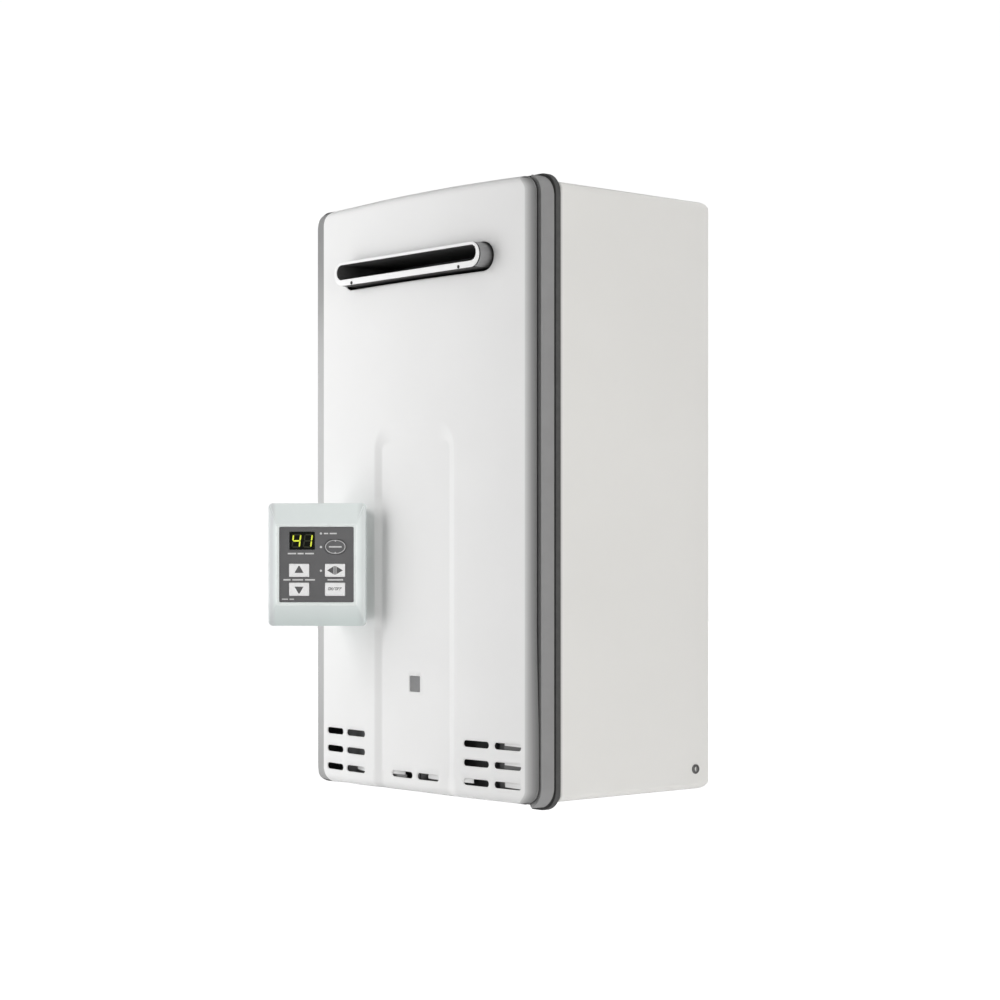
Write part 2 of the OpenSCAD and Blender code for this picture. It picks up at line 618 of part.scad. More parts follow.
// ---------- controller ----------
module controller_wedge() color([0.9, 0.91, 0.9])
  difference() {
    xy(ctl_p[2] - 58, ctl_p[2] + 58) polygon([[-72.2, -267.2], [-135.2, -330.2], [-135.2, y_front + 20], [-84, y_front + 20], [-84, -256]]);
    xy(ctl_p[2] - 55.5, ctl_p[2] + 55.5) polygon([[-86.5, -277], [-132.7, -323.2], [-132.7, y_front + 30], [-86.5, y_front + 30]]);
    translate([0, bow_y, -cover_h]) cylinder(r = bow_r + 0.05, h = 2 * cover_h, $fn = 400);
  }
module controller_back() color([0.86, 0.9, 0.89])
  ctl() difference() {
    xz(10.2, ctl_d) rrect(ctl_w - 6, ctl_h - 6, 5);
    xz(9, ctl_d - 2) rrect(ctl_w - 11, ctl_h - 11, 3.5);
  }
module controller_bezel() color([0.86, 0.91, 0.9])
  ctl() difference() {
    union() {
      xz(4, 10) rrect(ctl_w, ctl_h, 4);
      hull() {
        translate([-ctl_w / 2 + 0.4, 3.9, -ctl_h / 2 + 0.4]) cube([ctl_w - 0.8, 0.2, ctl_h - 0.8]);
        translate([-ctl_w / 2 + 7, 0, -ctl_h / 2 + 7]) cube([ctl_w - 14, 0.2, ctl_h - 14]);
      }
    }
    xz(-1, 3.1) rrect(76.8, 77.2, 1.6);
    xz(2, 6) rrect(71, 71.4, 1.6);
    xz(4.5, 11) rrect(ctl_w - 9, ctl_h - 9, 3);
  }
keys = [[-17.7, -5.9], [-17.7, -25.2], [19.3, -5.9], [19.3, -25.2]];
oval = [19.6, 18.1];
module key_cap(c) color([0.94, 0.94, 0.94])
  ctl() {
    xz(-0.5, 3.2) translate(c) rrect(key_w, key_h, 0.8);
    xz(3.8, 5) translate(c) rrect(key_w + 2, key_h + 2, 0.8);
    xz(3, 4) translate(c) rrect(key_w - 2, key_h - 2, 0.8);
  }
module controller_panel() color([0.42, 0.42, 0.43])
  ctl() difference() {
    xz(0.7, 3) rrect(76.2, 76.6, 1.4);
    for (c = keys) xz(-1, 5) translate(c) rrect(key_w + 0.8, key_h + 0.8, 1);
    xz(-1, 5) translate(oval) stadium(22.2, 15.2);
    xz(-1, 5) translate([-14.7, 24.4]) square([26.4, 18.6], center = true);
  }
module display_window() color([0.04, 0.05, 0.04])
  ctl() xz(0.9, 5) translate([-14.7, 24.4]) square([26, 18.2], center = true);
module up_button() key_cap(keys[0]);
module down_button() key_cap(keys[1]);
module transfer_button() key_cap(keys[2]);
module power_button() key_cap(keys[3]);
module priority_button() color([0.44, 0.44, 0.45])
  ctl() {
    xz(-0.1, 3.2) translate(oval) stadium(21.4, 14.4);
    xz(3.8, 5) translate(oval) stadium(24, 17);
    xz(3, 4) translate(oval) stadium(20, 13);
  }

case_shell();
connection_plate();
case_screws();
upper_wall_bracket();
lower_wall_bracket();
bracket_screws();
left_trim();
right_trim();
cover_seal();
flue_terminal();
flue_guard();
flue_screws();
exhaust_hood();
heat_exchanger_core();
heat_exchanger_housing();
return_bends();
combustion_chamber();
burner_box();
burner_bars();
gas_manifold();
gas_nozzles();
fan_housing();
fan_motor();
gas_valve_body();
solenoid_coils();
gas_riser_pipe();
gas_inlet_fitting();
cold_inlet_fitting();
water_valve_body();
flow_servo_motor();
service_plugs();
cold_pipe();
hot_pipe();
hot_outlet_fitting();
electrodes();
spark_unit();
ignition_lead();
temperature_sensors();
frost_heaters();
control_box();
circuit_board();
wiring_harness();
cable_gland();
front_cover();
cover_screws();
sight_window();
controller_wedge();
controller_back();
controller_bezel();
controller_panel();
display_window();
fan_impeller();
flow_turbine();
servo_spindle();
gas_valve_plunger();
up_button();
down_button();
transfer_button();
power_button();
priority_button();
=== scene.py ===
import json
import math

import bmesh
import bpy
from mathutils import Matrix, Vector
from mathutils.geometry import delaunay_2d_cdt

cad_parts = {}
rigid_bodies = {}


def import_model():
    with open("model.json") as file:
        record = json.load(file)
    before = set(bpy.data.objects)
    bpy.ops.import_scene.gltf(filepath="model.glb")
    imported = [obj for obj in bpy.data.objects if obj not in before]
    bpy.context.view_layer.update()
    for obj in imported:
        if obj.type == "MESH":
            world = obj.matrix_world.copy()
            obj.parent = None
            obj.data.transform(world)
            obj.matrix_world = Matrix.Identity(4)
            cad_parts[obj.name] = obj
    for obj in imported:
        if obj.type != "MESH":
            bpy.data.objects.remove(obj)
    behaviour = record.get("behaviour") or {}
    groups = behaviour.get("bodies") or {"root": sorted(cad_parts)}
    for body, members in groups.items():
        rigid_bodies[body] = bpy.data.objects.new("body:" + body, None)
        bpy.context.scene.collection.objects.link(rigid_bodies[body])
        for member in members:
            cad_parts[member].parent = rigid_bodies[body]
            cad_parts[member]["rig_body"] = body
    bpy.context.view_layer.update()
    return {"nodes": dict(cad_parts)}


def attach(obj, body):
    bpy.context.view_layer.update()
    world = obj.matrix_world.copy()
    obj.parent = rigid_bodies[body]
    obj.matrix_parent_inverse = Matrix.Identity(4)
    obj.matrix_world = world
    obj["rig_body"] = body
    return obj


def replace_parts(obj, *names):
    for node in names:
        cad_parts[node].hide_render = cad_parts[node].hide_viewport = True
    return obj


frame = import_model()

MM = 0.001
NODES = frame["nodes"]
SC = bpy.context.scene

# ------------------------------------------------------------------ camera
cam_data = bpy.data.cameras.new("camera")
cam_data.lens = 80.725
cam_data.sensor_width = 36.0
cam_data.shift_y = 0.0528
cam_data.clip_start = 0.05
cam_data.clip_end = 60.0
cam = bpy.data.objects.new("camera", cam_data)
SC.collection.objects.link(cam)
cam.location = (1.76197, -1.66941, -0.060)
cam.rotation_euler = (math.radians(90), 0.0, math.radians(49.046))
SC.camera = cam


# ------------------------------------------------------------------ materials
def lin(v):
    v = v / 255.0
    return v / 12.92 if v <= 0.04045 else ((v + 0.055) / 1.055) ** 2.4


def rgb(r, g, b):
    return (lin(r), lin(g), lin(b), 1.0)


class Mat:
    """A Principled material whose colour, roughness and relief come from procedural nodes."""

    def __init__(self, name, color, rough, metal=0.0, var=0.05, var_scale=30.0, rough_var=0.06, grain=900.0,
                 relief=0.06, relief_mm=0.05, coat=0.0, coat_rough=0.08, spec=0.5, tint=None, stretch=None):
        self.m = bpy.data.materials.new(name)
        self.m.use_nodes = True
        nt = self.m.node_tree
        self.nt = nt
        self.bsdf = nt.nodes["Principled BSDF"]
        b = self.bsdf
        b.inputs["Metallic"].default_value = metal
        b.inputs["Specular IOR Level"].default_value = spec
        b.inputs["Coat Weight"].default_value = coat
        b.inputs["Coat Roughness"].default_value = coat_rough
        self.coord = nt.nodes.new("ShaderNodeTexCoord")
        self.vec = self.coord.outputs["Object"]
        if stretch:
            mp = nt.nodes.new("ShaderNodeMapping")
            mp.inputs["Scale"].default_value = stretch
            nt.links.new(self.vec, mp.inputs["Vector"])
            self.vec = mp.outputs["Vector"]
        lo = tuple(c * (1 - var) for c in color[:3]) + (1.0,)
        hi = tuple(min(1.0, c * (1 + var)) for c in (tint or color)[:3]) + (1.0,)
        n1 = self.noise(var_scale, 4.0)
        self.ramp = nt.nodes.new("ShaderNodeValToRGB")
        self.ramp.color_ramp.elements[0].position = 0.32
        self.ramp.color_ramp.elements[1].position = 0.68
        self.ramp.color_ramp.elements[0].color = lo
        self.ramp.color_ramp.elements[1].color = hi
        nt.links.new(n1.outputs["Fac"], self.ramp.inputs["Fac"])
        self.color_out = self.ramp.outputs["Color"]
        nt.links.new(self.color_out, b.inputs["Base Color"])
        n2 = self.noise(var_scale * 2.3, 3.0)
        mr = nt.nodes.new("ShaderNodeMapRange")
        mr.inputs["From Min"].default_value = 0.3
        mr.inputs["From Max"].default_value = 0.7
        mr.inputs["To Min"].default_value = max(0.02, rough - rough_var)
        mr.inputs["To Max"].default_value = min(1.0, rough + rough_var)
        nt.links.new(n2.outputs["Fac"], mr.inputs["Value"])
        nt.links.new(mr.outputs["Result"], b.inputs["Roughness"])
        self.height = self.noise(grain, 3.0).outputs["Fac"]
        self.bump = nt.nodes.new("ShaderNodeBump")
        self.bump.inputs["Strength"].default_value = relief
        self.bump.inputs["Distance"].default_value = relief_mm * MM
        nt.links.new(self.height, self.bump.inputs["Height"])
        nt.links.new(self.bump.outputs["Normal"], b.inputs["Normal"])

    def noise(self, scale, detail):
        n = self.nt.nodes.new("ShaderNodeTexNoise")
        n.inputs["Scale"].default_value = scale
        n.inputs["Detail"].default_value = detail
        self.nt.links.new(self.vec, n.inputs["Vector"])
        return n

    def mix_by(self, fac_socket, color):
        """Mixes the colour towards another one by a factor."""
        nt = self.nt
        mx = nt.nodes.new("ShaderNodeMix")
        mx.data_type = "RGBA"
        nt.links.new(fac_socket, mx.inputs[0])
        nt.links.new(self.color_out, mx.inputs[6])
        mx.inputs[7].default_value = color
        nt.links.new(mx.outputs[2], self.bsdf.inputs["Base Color"])
        self.color_out = mx.outputs[2]
        return self

    def voronoi_patches(self, scale, color, lo=0.45, hi=0.6):
        v = self.nt.nodes.new("ShaderNodeTexVoronoi")
        v.inputs["Scale"].default_value = scale
        self.nt.links.new(self.vec, v.inputs["Vector"])
        sep = self.nt.nodes.new("ShaderNodeSeparateColor")
        self.nt.links.new(v.outputs["Color"], sep.inputs["Color"])
        mr = self.nt.nodes.new("ShaderNodeMapRange")
        mr.inputs["From Min"].default_value = 0.0
        mr.inputs["From Max"].default_value = 1.0
        mr.inputs["To Min"].default_value = 0.0
        mr.inputs["To Max"].default_value = hi
        self.nt.links.new(sep.outputs["Red"], mr.inputs["Value"])
        return self.mix_by(mr.outputs["Result"], color)

    def stains(self, scale, color, lo, hi):
        n = self.noise(scale, 6.0)
        mr = self.nt.nodes.new("ShaderNodeMapRange")
        mr.inputs["From Min"].default_value = lo
        mr.inputs["From Max"].default_value = hi
        self.nt.links.new(n.outputs["Fac"], mr.inputs["Value"])
        return self.mix_by(mr.outputs["Result"], color)


# Sheet with a satin baked enamel: faint orange peel and very faint unevenness
paint = Mat("enamel_white", (0.845, 0.845, 0.842, 1), 0.48, var=0.008, var_scale=6.0, grain=520.0, relief=0.05, relief_mm=0.06, coat=0.03, coat_rough=0.25, spec=0.3)
# Painted shade and painted light: the edge_shade attribute darkens the rolled sides, the left recess wall and the
# louver tongues, and, below zero with the factor unclamped, paints the top edge and the right recess wall paler
edge_attr = paint.nt.nodes.new("ShaderNodeAttribute")
edge_attr.attribute_name = "edge_shade"
paint.mix_by(edge_attr.outputs["Fac"], (0.085, 0.085, 0.086, 1))
paint.color_out.node.clamp_factor = False
case_paint = Mat("enamel_case", (0.80, 0.795, 0.775, 1), 0.46, var=0.01, var_scale=7.0, grain=520.0, relief=0.05, relief_mm=0.06, coat=0.03, coat_rough=0.25, spec=0.3)
# Painted shade: the case's paint darkens over its last few millimetres towards the front edge, by the trims
case_edge_shade_xyz = case_paint.nt.nodes.new("ShaderNodeSeparateXYZ")
case_paint.nt.links.new(case_paint.coord.outputs["Object"], case_edge_shade_xyz.inputs["Vector"])
case_edge_painted_shade = case_paint.nt.nodes.new("ShaderNodeMapRange")
case_edge_painted_shade.inputs["From Min"].default_value = -213.0 * MM
case_edge_painted_shade.inputs["From Max"].default_value = -216.2 * MM
case_edge_painted_shade.inputs["To Max"].default_value = 0.5
case_paint.nt.links.new(case_edge_shade_xyz.outputs["Y"], case_edge_painted_shade.inputs["Value"])
case_paint.mix_by(case_edge_painted_shade.outputs["Result"], (0.22, 0.22, 0.215, 1))
trim_grey = Mat("trim_plastic", (0.285, 0.285, 0.287, 1), 0.5, var=0.03, var_scale=60.0, grain=1500.0, relief=0.16, relief_mm=0.06)
seal_black = Mat("seal_rubber", (0.074, 0.074, 0.074, 1), 0.75, var=0.08, var_scale=120.0, grain=1600.0, relief=0.25, relief_mm=0.08)
# Darker rubber in the seal's groove: painted shade in the groove
seal_groove_painted_shade = Mat("seal_groove_painted_shade_rubber", (0.036, 0.036, 0.036, 1), 0.85, var=0.1, var_scale=120.0, grain=1600.0, relief=0.25, relief_mm=0.08)
# Near-black strip for the gaps beside the cover: painted shade
gap_painted_shade = Mat("gap_painted_shade", (0.085, 0.085, 0.085, 1), 0.8, var=0.1, var_scale=120.0, grain=1600.0, relief=0.25, relief_mm=0.08)
# The flue's polished rim as a near-white, non-metallic colour: a painted reflection of the white studio
rim_painted_reflection = Mat("rim_white_painted_reflection", (0.93, 0.93, 0.93, 1), 0.42, metal=0.0, spec=0.3, var=0.012, var_scale=35.0, rough_var=0.04, grain=700.0, relief=0.02, relief_mm=0.03)
flue_body = Mat("flue_steel", (0.36, 0.36, 0.365, 1), 0.42, metal=0.75, var=0.04, var_scale=20.0, grain=60.0, relief=0.08, relief_mm=0.03, stretch=(8, 8, 60))
# Near-black: the flue guard's paint, and painted shade inside the duct
duct_black = Mat("duct_black", (0.07, 0.07, 0.07, 1), 0.75, var=0.2, var_scale=45.0, grain=700.0, relief=0.3, relief_mm=0.15)
# Near-black: the flue rim screws' own colour, and painted shade under the duct and in the step behind its rim
black_and_underside_shade = Mat("flue_black", (0.034, 0.034, 0.034, 1), 0.7, var=0.3, var_scale=45.0, grain=700.0, relief=0.3, relief_mm=0.15)
screw_steel = Mat("zinc_screw", (0.55, 0.55, 0.54, 1), 0.34, metal=0.95, var=0.06, var_scale=260.0, grain=2200.0, relief=0.08, relief_mm=0.02)
dark_screw = Mat("dark_screw", (0.13, 0.13, 0.13, 1), 0.5, metal=0.3, var=0.1, var_scale=300.0, grain=2200.0, relief=0.08, relief_mm=0.02)
galv = Mat("galvanised", (0.56, 0.57, 0.58, 1), 0.42, metal=0.9, var=0.06, var_scale=40.0, grain=500.0, relief=0.05, relief_mm=0.03).voronoi_patches(85.0, (0.72, 0.73, 0.745, 1), hi=0.75)
steel = Mat("stainless", (0.62, 0.62, 0.61, 1), 0.3, metal=1.0, var=0.05, var_scale=25.0, grain=220.0, relief=0.06, relief_mm=0.02, stretch=(1, 1, 12))
copper = Mat("copper", (0.72, 0.36, 0.21, 1), 0.3, metal=1.0, var=0.1, var_scale=18.0, rough_var=0.1, grain=300.0, relief=0.05, relief_mm=0.04, tint=(0.86, 0.47, 0.30)).stains(26.0, (0.33, 0.15, 0.09, 1), 0.56, 0.82)
copper_hot = Mat("copper_heated", (0.58, 0.27, 0.16, 1), 0.36, metal=1.0, var=0.14, var_scale=12.0, rough_var=0.1, grain=260.0, relief=0.07, relief_mm=0.05, tint=(0.78, 0.42, 0.27)).stains(15.0, (0.22, 0.12, 0.12, 1), 0.5, 0.8)
brass = Mat("brass", (0.70, 0.50, 0.20, 1), 0.3, metal=1.0, var=0.08, var_scale=50.0, grain=700.0, relief=0.05, relief_mm=0.03, tint=(0.80, 0.61, 0.30)).stains(40.0, (0.36, 0.24, 0.09, 1), 0.58, 0.85)
cast = Mat("die_cast", (0.50, 0.50, 0.51, 1), 0.5, metal=0.9, var=0.06, var_scale=70.0, grain=620.0, relief=0.3, relief_mm=0.12)
# Near-black for the cover's inside, its back lip and skirts, and some louver tongues: painted shade in the gaps and
# behind the slots
inside_painted_shade = Mat("cover_inside_painted_shade", (0.035, 0.035, 0.035, 1), 0.85, var=0.2, var_scale=60.0, grain=500.0, relief=0.4, relief_mm=0.2)
black_plastic = Mat("black_moulding", (0.022, 0.022, 0.023, 1), 0.48, var=0.12, var_scale=90.0, grain=1300.0, relief=0.2, relief_mm=0.06)
pale = Mat("pale_moulding", (0.86, 0.92, 0.912, 1), 0.42, var=0.012, var_scale=30.0, grain=1500.0, relief=0.12, relief_mm=0.05)
# Painted shade on the controller's moulding: darker towards its bottom, along its right edge and along its left edge
ctl_painted_shade_xyz = pale.nt.nodes.new("ShaderNodeSeparateXYZ")
pale.nt.links.new(pale.coord.outputs["Object"], ctl_painted_shade_xyz.inputs["Vector"])
low_painted_shade = pale.nt.nodes.new("ShaderNodeMapRange")
low_painted_shade.inputs["From Min"].default_value = -105.0 * MM
low_painted_shade.inputs["From Max"].default_value = -134.0 * MM
low_painted_shade.inputs["To Max"].default_value = 0.72
pale.nt.links.new(ctl_painted_shade_xyz.outputs["Z"], low_painted_shade.inputs["Value"])
pale.mix_by(low_painted_shade.outputs["Result"], (0.56, 0.63, 0.62, 1))
across = pale.nt.nodes.new("ShaderNodeVectorMath")
across.operation = "DOT_PRODUCT"
across.inputs[1].default_value = (0.7071, 0.7071, 0.0)
pale.nt.links.new(pale.coord.outputs["Object"], across.inputs[0])
right_painted_shade = pale.nt.nodes.new("ShaderNodeMapRange")
right_painted_shade.inputs["From Min"].default_value = -242.0 * MM
right_painted_shade.inputs["From Max"].default_value = -236.0 * MM
right_painted_shade.inputs["To Max"].default_value = 0.7
pale.nt.links.new(across.outputs["Value"], right_painted_shade.inputs["Value"])
pale.mix_by(right_painted_shade.outputs["Result"], (0.60, 0.64, 0.64, 1))
left_painted_shade = pale.nt.nodes.new("ShaderNodeMapRange")
left_painted_shade.inputs["From Min"].default_value = -325.0 * MM
left_painted_shade.inputs["From Max"].default_value = -329.0 * MM
left_painted_shade.inputs["To Max"].default_value = 0.5
pale.nt.links.new(across.outputs["Value"], left_painted_shade.inputs["Value"])
pale.mix_by(left_painted_shade.outputs["Result"], (0.60, 0.60, 0.62, 1))
ivory = Mat("ivory_moulding", (0.74, 0.73, 0.69, 1), 0.48, var=0.02, var_scale=40.0, grain=1200.0, relief=0.15, relief_mm=0.06)
lip_white = Mat("panel_lip", (0.90, 0.95, 0.94, 1), 0.3, var=0.01, var_scale=60.0, grain=1500.0, relief=0.05, relief_mm=0.03)
panel_grey = Mat("membrane_grey", (0.148, 0.148, 0.152, 1), 0.42, var=0.03, var_scale=80.0, grain=2400.0, relief=0.1, relief_mm=0.03)
key_white = Mat("key_white", (0.97, 0.97, 0.975, 1), 0.3, var=0.01, var_scale=90.0, grain=2200.0, relief=0.05, relief_mm=0.02)
print_grey = Mat("print_grey", (0.12, 0.12, 0.122, 1), 0.5, var=0.05, var_scale=400.0, grain=3000.0, relief=0.05, relief_mm=0.01)
print_light = Mat("print_light_grey", (0.34, 0.34, 0.345, 1), 0.5, var=0.05, var_scale=400.0, grain=3000.0, relief=0.05, relief_mm=0.01)
print_white = Mat("print_white", (0.72, 0.72, 0.72, 1), 0.5, var=0.03, var_scale=400.0, grain=3000.0, relief=0.05, relief_mm=0.01)
print_faint = Mat("print_faint", (0.58, 0.645, 0.635, 1), 0.5, var=0.03, var_scale=400.0, grain=3000.0, relief=0.05, relief_mm=0.01)
glass_black = Mat("display_black", (0.008, 0.009, 0.007, 1), 0.22, var=0.2, var_scale=200.0, rough_var=0.03, grain=1500.0, relief=0.01, relief_mm=0.01, spec=0.25)
seg_off = Mat("segment_off", (0.030, 0.033, 0.016, 1), 0.4, var=0.1, var_scale=400.0, grain=2400.0, relief=0.02, relief_mm=0.01)
seg_on = Mat("segment_lit", (0.55, 0.62, 0.05, 1), 0.4, var=0.1, var_scale=500.0, grain=2400.0, relief=0.02, relief_mm=0.01)
seg_on.bsdf.inputs["Emission Color"].default_value = (0.62, 0.68, 0.045, 1)
seg_on.bsdf.inputs["Emission Strength"].default_value = 0.62
window_grey = Mat("window_grey", (0.175, 0.175, 0.178, 1), 0.5, var=0.05, var_scale=120.0, grain=1500.0, relief=0.03, relief_mm=0.02)
ceramic = Mat("white_ceramic", (0.80, 0.79, 0.74, 1), 0.45, var=0.04, var_scale=110.0, grain=900.0, relief=0.12, relief_mm=0.06)
lead_red = Mat("lead_red", (0.34, 0.035, 0.025, 1), 0.5, var=0.06, var_scale=150.0, grain=1500.0, relief=0.12, relief_mm=0.04)
lead_black = Mat("lead_black", (0.025, 0.025, 0.027, 1), 0.5, var=0.1, var_scale=150.0, grain=1500.0, relief=0.12, relief_mm=0.04)
board = Mat("board_green", (0.018, 0.12, 0.045, 1), 0.36, var=0.12, var_scale=60.0, grain=900.0, relief=0.06, relief_mm=0.03, coat=0.25)
brick = board.nt.nodes.new("ShaderNodeTexBrick")
brick.inputs["Scale"].default_value = 120.0
brick.inputs["Mortar Size"].default_value = 0.012
brick.inputs["Color1"].default_value = (0, 0, 0, 1)
brick.inputs["Color2"].default_value = (0, 0, 0, 1)
brick.inputs["Mortar"].default_value = (1, 1, 1, 1)
swz = board.nt.nodes.new("ShaderNodeMapping")
swz.inputs["Rotation"].default_value = (math.radians(90), 0, 0)
board.nt.links.new(board.vec, swz.inputs["Vector"])
board.nt.links.new(swz.outputs["Vector"], brick.inputs["Vector"])
bsep = board.nt.nodes.new("ShaderNodeSeparateColor")
board.nt.links.new(brick.outputs["Color"], bsep.inputs["Color"])
board.mix_by(bsep.outputs["Red"], (0.05, 0.25, 0.09, 1))


# ------------------------------------------------------------------ mesh helpers
def link(name, verts, faces, body, mats, slot=None, smooth=True, angle=35.0, face_mats=None, weighted=False):
    me = bpy.data.meshes.new(name)
    me.from_pydata([tuple(v) for v in verts], [], faces)
    bm = bmesh.new()
    bm.from_mesh(me)
    bmesh.ops.recalc_face_normals(bm, faces=bm.faces[:])
    bm.to_mesh(me)
    bm.free()
    for m in mats:
        me.materials.append(m.m)
    if face_mats:
        for p, k in zip(me.polygons, face_mats):
            p.material_index = k
    me.polygons.foreach_set("use_smooth", [smooth] * len(me.polygons))
    if smooth:
        me.set_sharp_from_angle(angle=math.radians(angle))
    o = bpy.data.objects.new(name, me)
    SC.collection.objects.link(o)
    if weighted:
        weight(o)
    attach(o, body)
    return o


def weight(o):
    w = o.modifiers.new("weighted", "WEIGHTED_NORMAL")
    w.mode = "FACE_AREA"
    w.weight = 60
    w.keep_sharp = True


def refine(node, mat, width=0.5, segs=2, angle=35.0, slot=None, name=None, body=None):
    """A node's own shape with its sharp edges broken, as a piece that stands for the node."""
    src = NODES[node]
    bm = bmesh.new()
    bm.from_mesh(src.data)
    bmesh.ops.remove_doubles(bm, verts=bm.verts[:], dist=2e-6)
    bmesh.ops.dissolve_limit(bm, angle_limit=math.radians(0.6), verts=bm.verts[:], edges=bm.edges[:])
    if width > 0:
        sharp = [e for e in bm.edges if len(e.link_faces) == 2 and e.calc_face_angle(0.0) > math.radians(angle)]
        if sharp:
            bmesh.ops.bevel(bm, geom=sharp, offset=width * MM, offset_type="OFFSET", segments=segs, profile=0.5,
                            affect="EDGES", clamp_overlap=True, miter_outer="SHARP", miter_inner="SHARP")
    bmesh.ops.recalc_face_normals(bm, faces=bm.faces[:])
    me = bpy.data.meshes.new(name or node + ".piece")
    bm.to_mesh(me)
    bm.free()
    me.materials.append(mat.m)
    me.polygons.foreach_set("use_smooth", [True] * len(me.polygons))
    me.set_sharp_from_angle(angle=math.radians(32 if width > 0 else angle))
    o = bpy.data.objects.new(name or node + ".piece", me)
    SC.collection.objects.link(o)
    weight(o)
    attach(o, body or src["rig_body"])
    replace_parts(o, node)
    return o


def rrect(w, h, r, n=8, cx=0.0, cz=0.0):
    """Rounded rectangle, counter-clockwise from the right side."""
    out = []
    for k, (sx, sz) in enumerate([(1, 1), (-1, 1), (-1, -1), (1, -1)]):
        for i in range(n + 1):
            a = math.radians(90 * k + 90 * i / n)
            out.append((cx + sx * (w / 2 - r) + r * math.cos(a), cz + sz * (h / 2 - r) + r * math.sin(a)))
    return out


def stadium(l, h, cx, cz, n=24):
    r = h / 2
    d = l / 2 - r
    out = []
    for s, a0 in ((1, -90), (-1, 90)):
        for i in range(n + 1):
            a = math.radians(a0 + 180 * i / n)
            out.append((cx + s * d + r * math.cos(a), cz + r * math.sin(a)))
    return out


def offset_rr(w, h, r, d, n=8, cx=0.0, cz=0.0):
    return rrect(w - 2 * d, h - 2 * d, max(0.05, r - d), n, cx, cz)


class Build:
    """Collects vertices and faces, in millimetres."""

    def __init__(self, place=None):
        self.v, self.f, self.k = [], [], []
        self.place = place or (lambda p: p)

    def loop(self, pts):
        i0 = len(self.v)
        self.v += [Vector(self.place(p)) * MM for p in pts]
        return list(range(i0, i0 + len(pts)))

    def bridge(self, a, b, k=0):
        n = len(a)
        for i in range(n):
            self.f.append((a[i], a[(i + 1) % n], b[(i + 1) % n], b[i]))
            self.k.append(k)

    def cap(self, a, k=0):
        self.f.append(tuple(a))
        self.k.append(k)

    def face(self, idx, k=0):
        self.f.append(tuple(idx))
        self.k.append(k)

    def done(self, name, body, mats, **kw):
        return link(name, self.v, self.f, body, mats, face_mats=self.k, **kw)


def xzy(pts, y):
    return [(x, y, z) for x, z in pts]


# ------------------------------------------------------------------ front cover
HW, HH, CR = 174.6, 301.0, 18.0
BACK_W = 176.0
Y_FRONT, X_RIM, BOW_R = -257.0, 162.0, 1644.25
REC_D, REC_X, REC_HW, REC_TOP, REC_SLOPE, REC_FADE, REC_R = 2.8, 0.0, 65.2, 74.0, 12.5, 27.0, 30.0
STRIP_L, STRIP_R = 14.6, 12.8


def bow(x):
    return Y_FRONT + BOW_R - math.sqrt(BOW_R * BOW_R - x * x)


def sdf_rr(x, z, hw, hh, r):
    """Distance inside a rounded rectangle (positive inside), and how much of the nearest edge is a side."""
    qx, qz = abs(x) - (hw - r), abs(z) - (hh - r)
    ox, oz = max(qx, 0.0), max(qz, 0.0)
    d = r - (math.hypot(ox, oz) + min(max(qx, qz), 0.0))
    if ox > 0 and oz > 0:
        w = ox * ox / (ox * ox + oz * oz)
    else:
        w = 1.0 if qx > qz else 0.0
    return d, w


def smooth(t):
    t = min(1.0, max(0.0, t))
    return t * t * (3 - 2 * t)


def ramp(t):
    """A straight slope from 0 to 1 with short rounded ends."""
    t = min(1.0, max(0.0, t))
    a = 0.2
    k = 1.0 / (1.0 - a)
    if t < a:
        return k * t * t / (2 * a)
    if t > 1 - a:
        return 1 - k * (1 - t) ** 2 / (2 * a)
    return k * (t - a / 2)


def arch(x, z):
    """How far a point is down the slope of the arch, 0 to 1, and how much that slope belongs to its top."""
    px = x - REC_X
    qx, qz = abs(px) - (REC_HW - REC_R), z - (REC_TOP - REC_R)
    ox, oz = max(qx, 0.0), max(qz, 0.0)
    d = REC_R - (math.hypot(ox, oz) + min(max(qx, qz), 0.0))
    if ox > 0 and oz > 0:
        w = oz * oz / (ox * ox + oz * oz)
    else:
        w = 1.0 if qz > qx else 0.0
    return d / (REC_SLOPE + (REC_FADE - REC_SLOPE) * w), w


def recess(x, z):
    """The arch: its sides are short slopes, its top runs out gently."""
    return REC_D * ramp(arch(x, z)[0])


def recess_wall_painted_shade_and_light(x, z):
    """Painted shade and painted light: the left slope is painted a little darker than the sheet, the right one a little
    lighter.
    """
    f, w = arch(x, z)
    if f <= 0.0 or f >= 1.0:
        return 0.0
    return (0.125 * (1.0 - smooth((70.0 - abs(z + 72.0)) / 12.0)) if x < REC_X else -0.1) * min(1.0, 5.0 * f * (1.0 - f)) * (1.0 - w)


def border(z, w):
    """Where the rolled side starts, measured in from the side; it runs out towards the corners."""
    t = max(0.0, (abs(z) - (HH - 14.0)) / 14.0)
    return w + 12.0 * t * t


def roll_side(t):
    if t <= 0:
        return 0.0
    return 0.012 * t + 0.0078 * t * t


def roll_top(d):
    t = 7.5 - d
    if t <= 0:
        return 0.0
    return 7.5 - math.sqrt(max(0.0, 56.25 - min(t, 7.3) ** 2))


def front(x, z):
    return bow(x) + recess(x, z) + roll_side(border(z, STRIP_R) - (HW - abs(x))) + roll_top(max(0.0, HH - abs(z)))


def table(rows, t):
    for (a, p), (b_, q) in zip(rows, rows[1:]):
        if t <= b_:
            return p + (q - p) * max(0.0, t - a) / (b_ - a)
    return rows[-1][1]


# Painted shade on the rolled sides: by height on the left, by distance in from the border on the right
LEFT_SHADE = [(-301, 0.62), (-270, 0.55), (-217, 0.49), (-174, 0.47), (39, 0.41), (82, 0.41), (124, 0.45), (167, 0.51), (209, 0.64), (252, 0.73), (301, 0.77)]


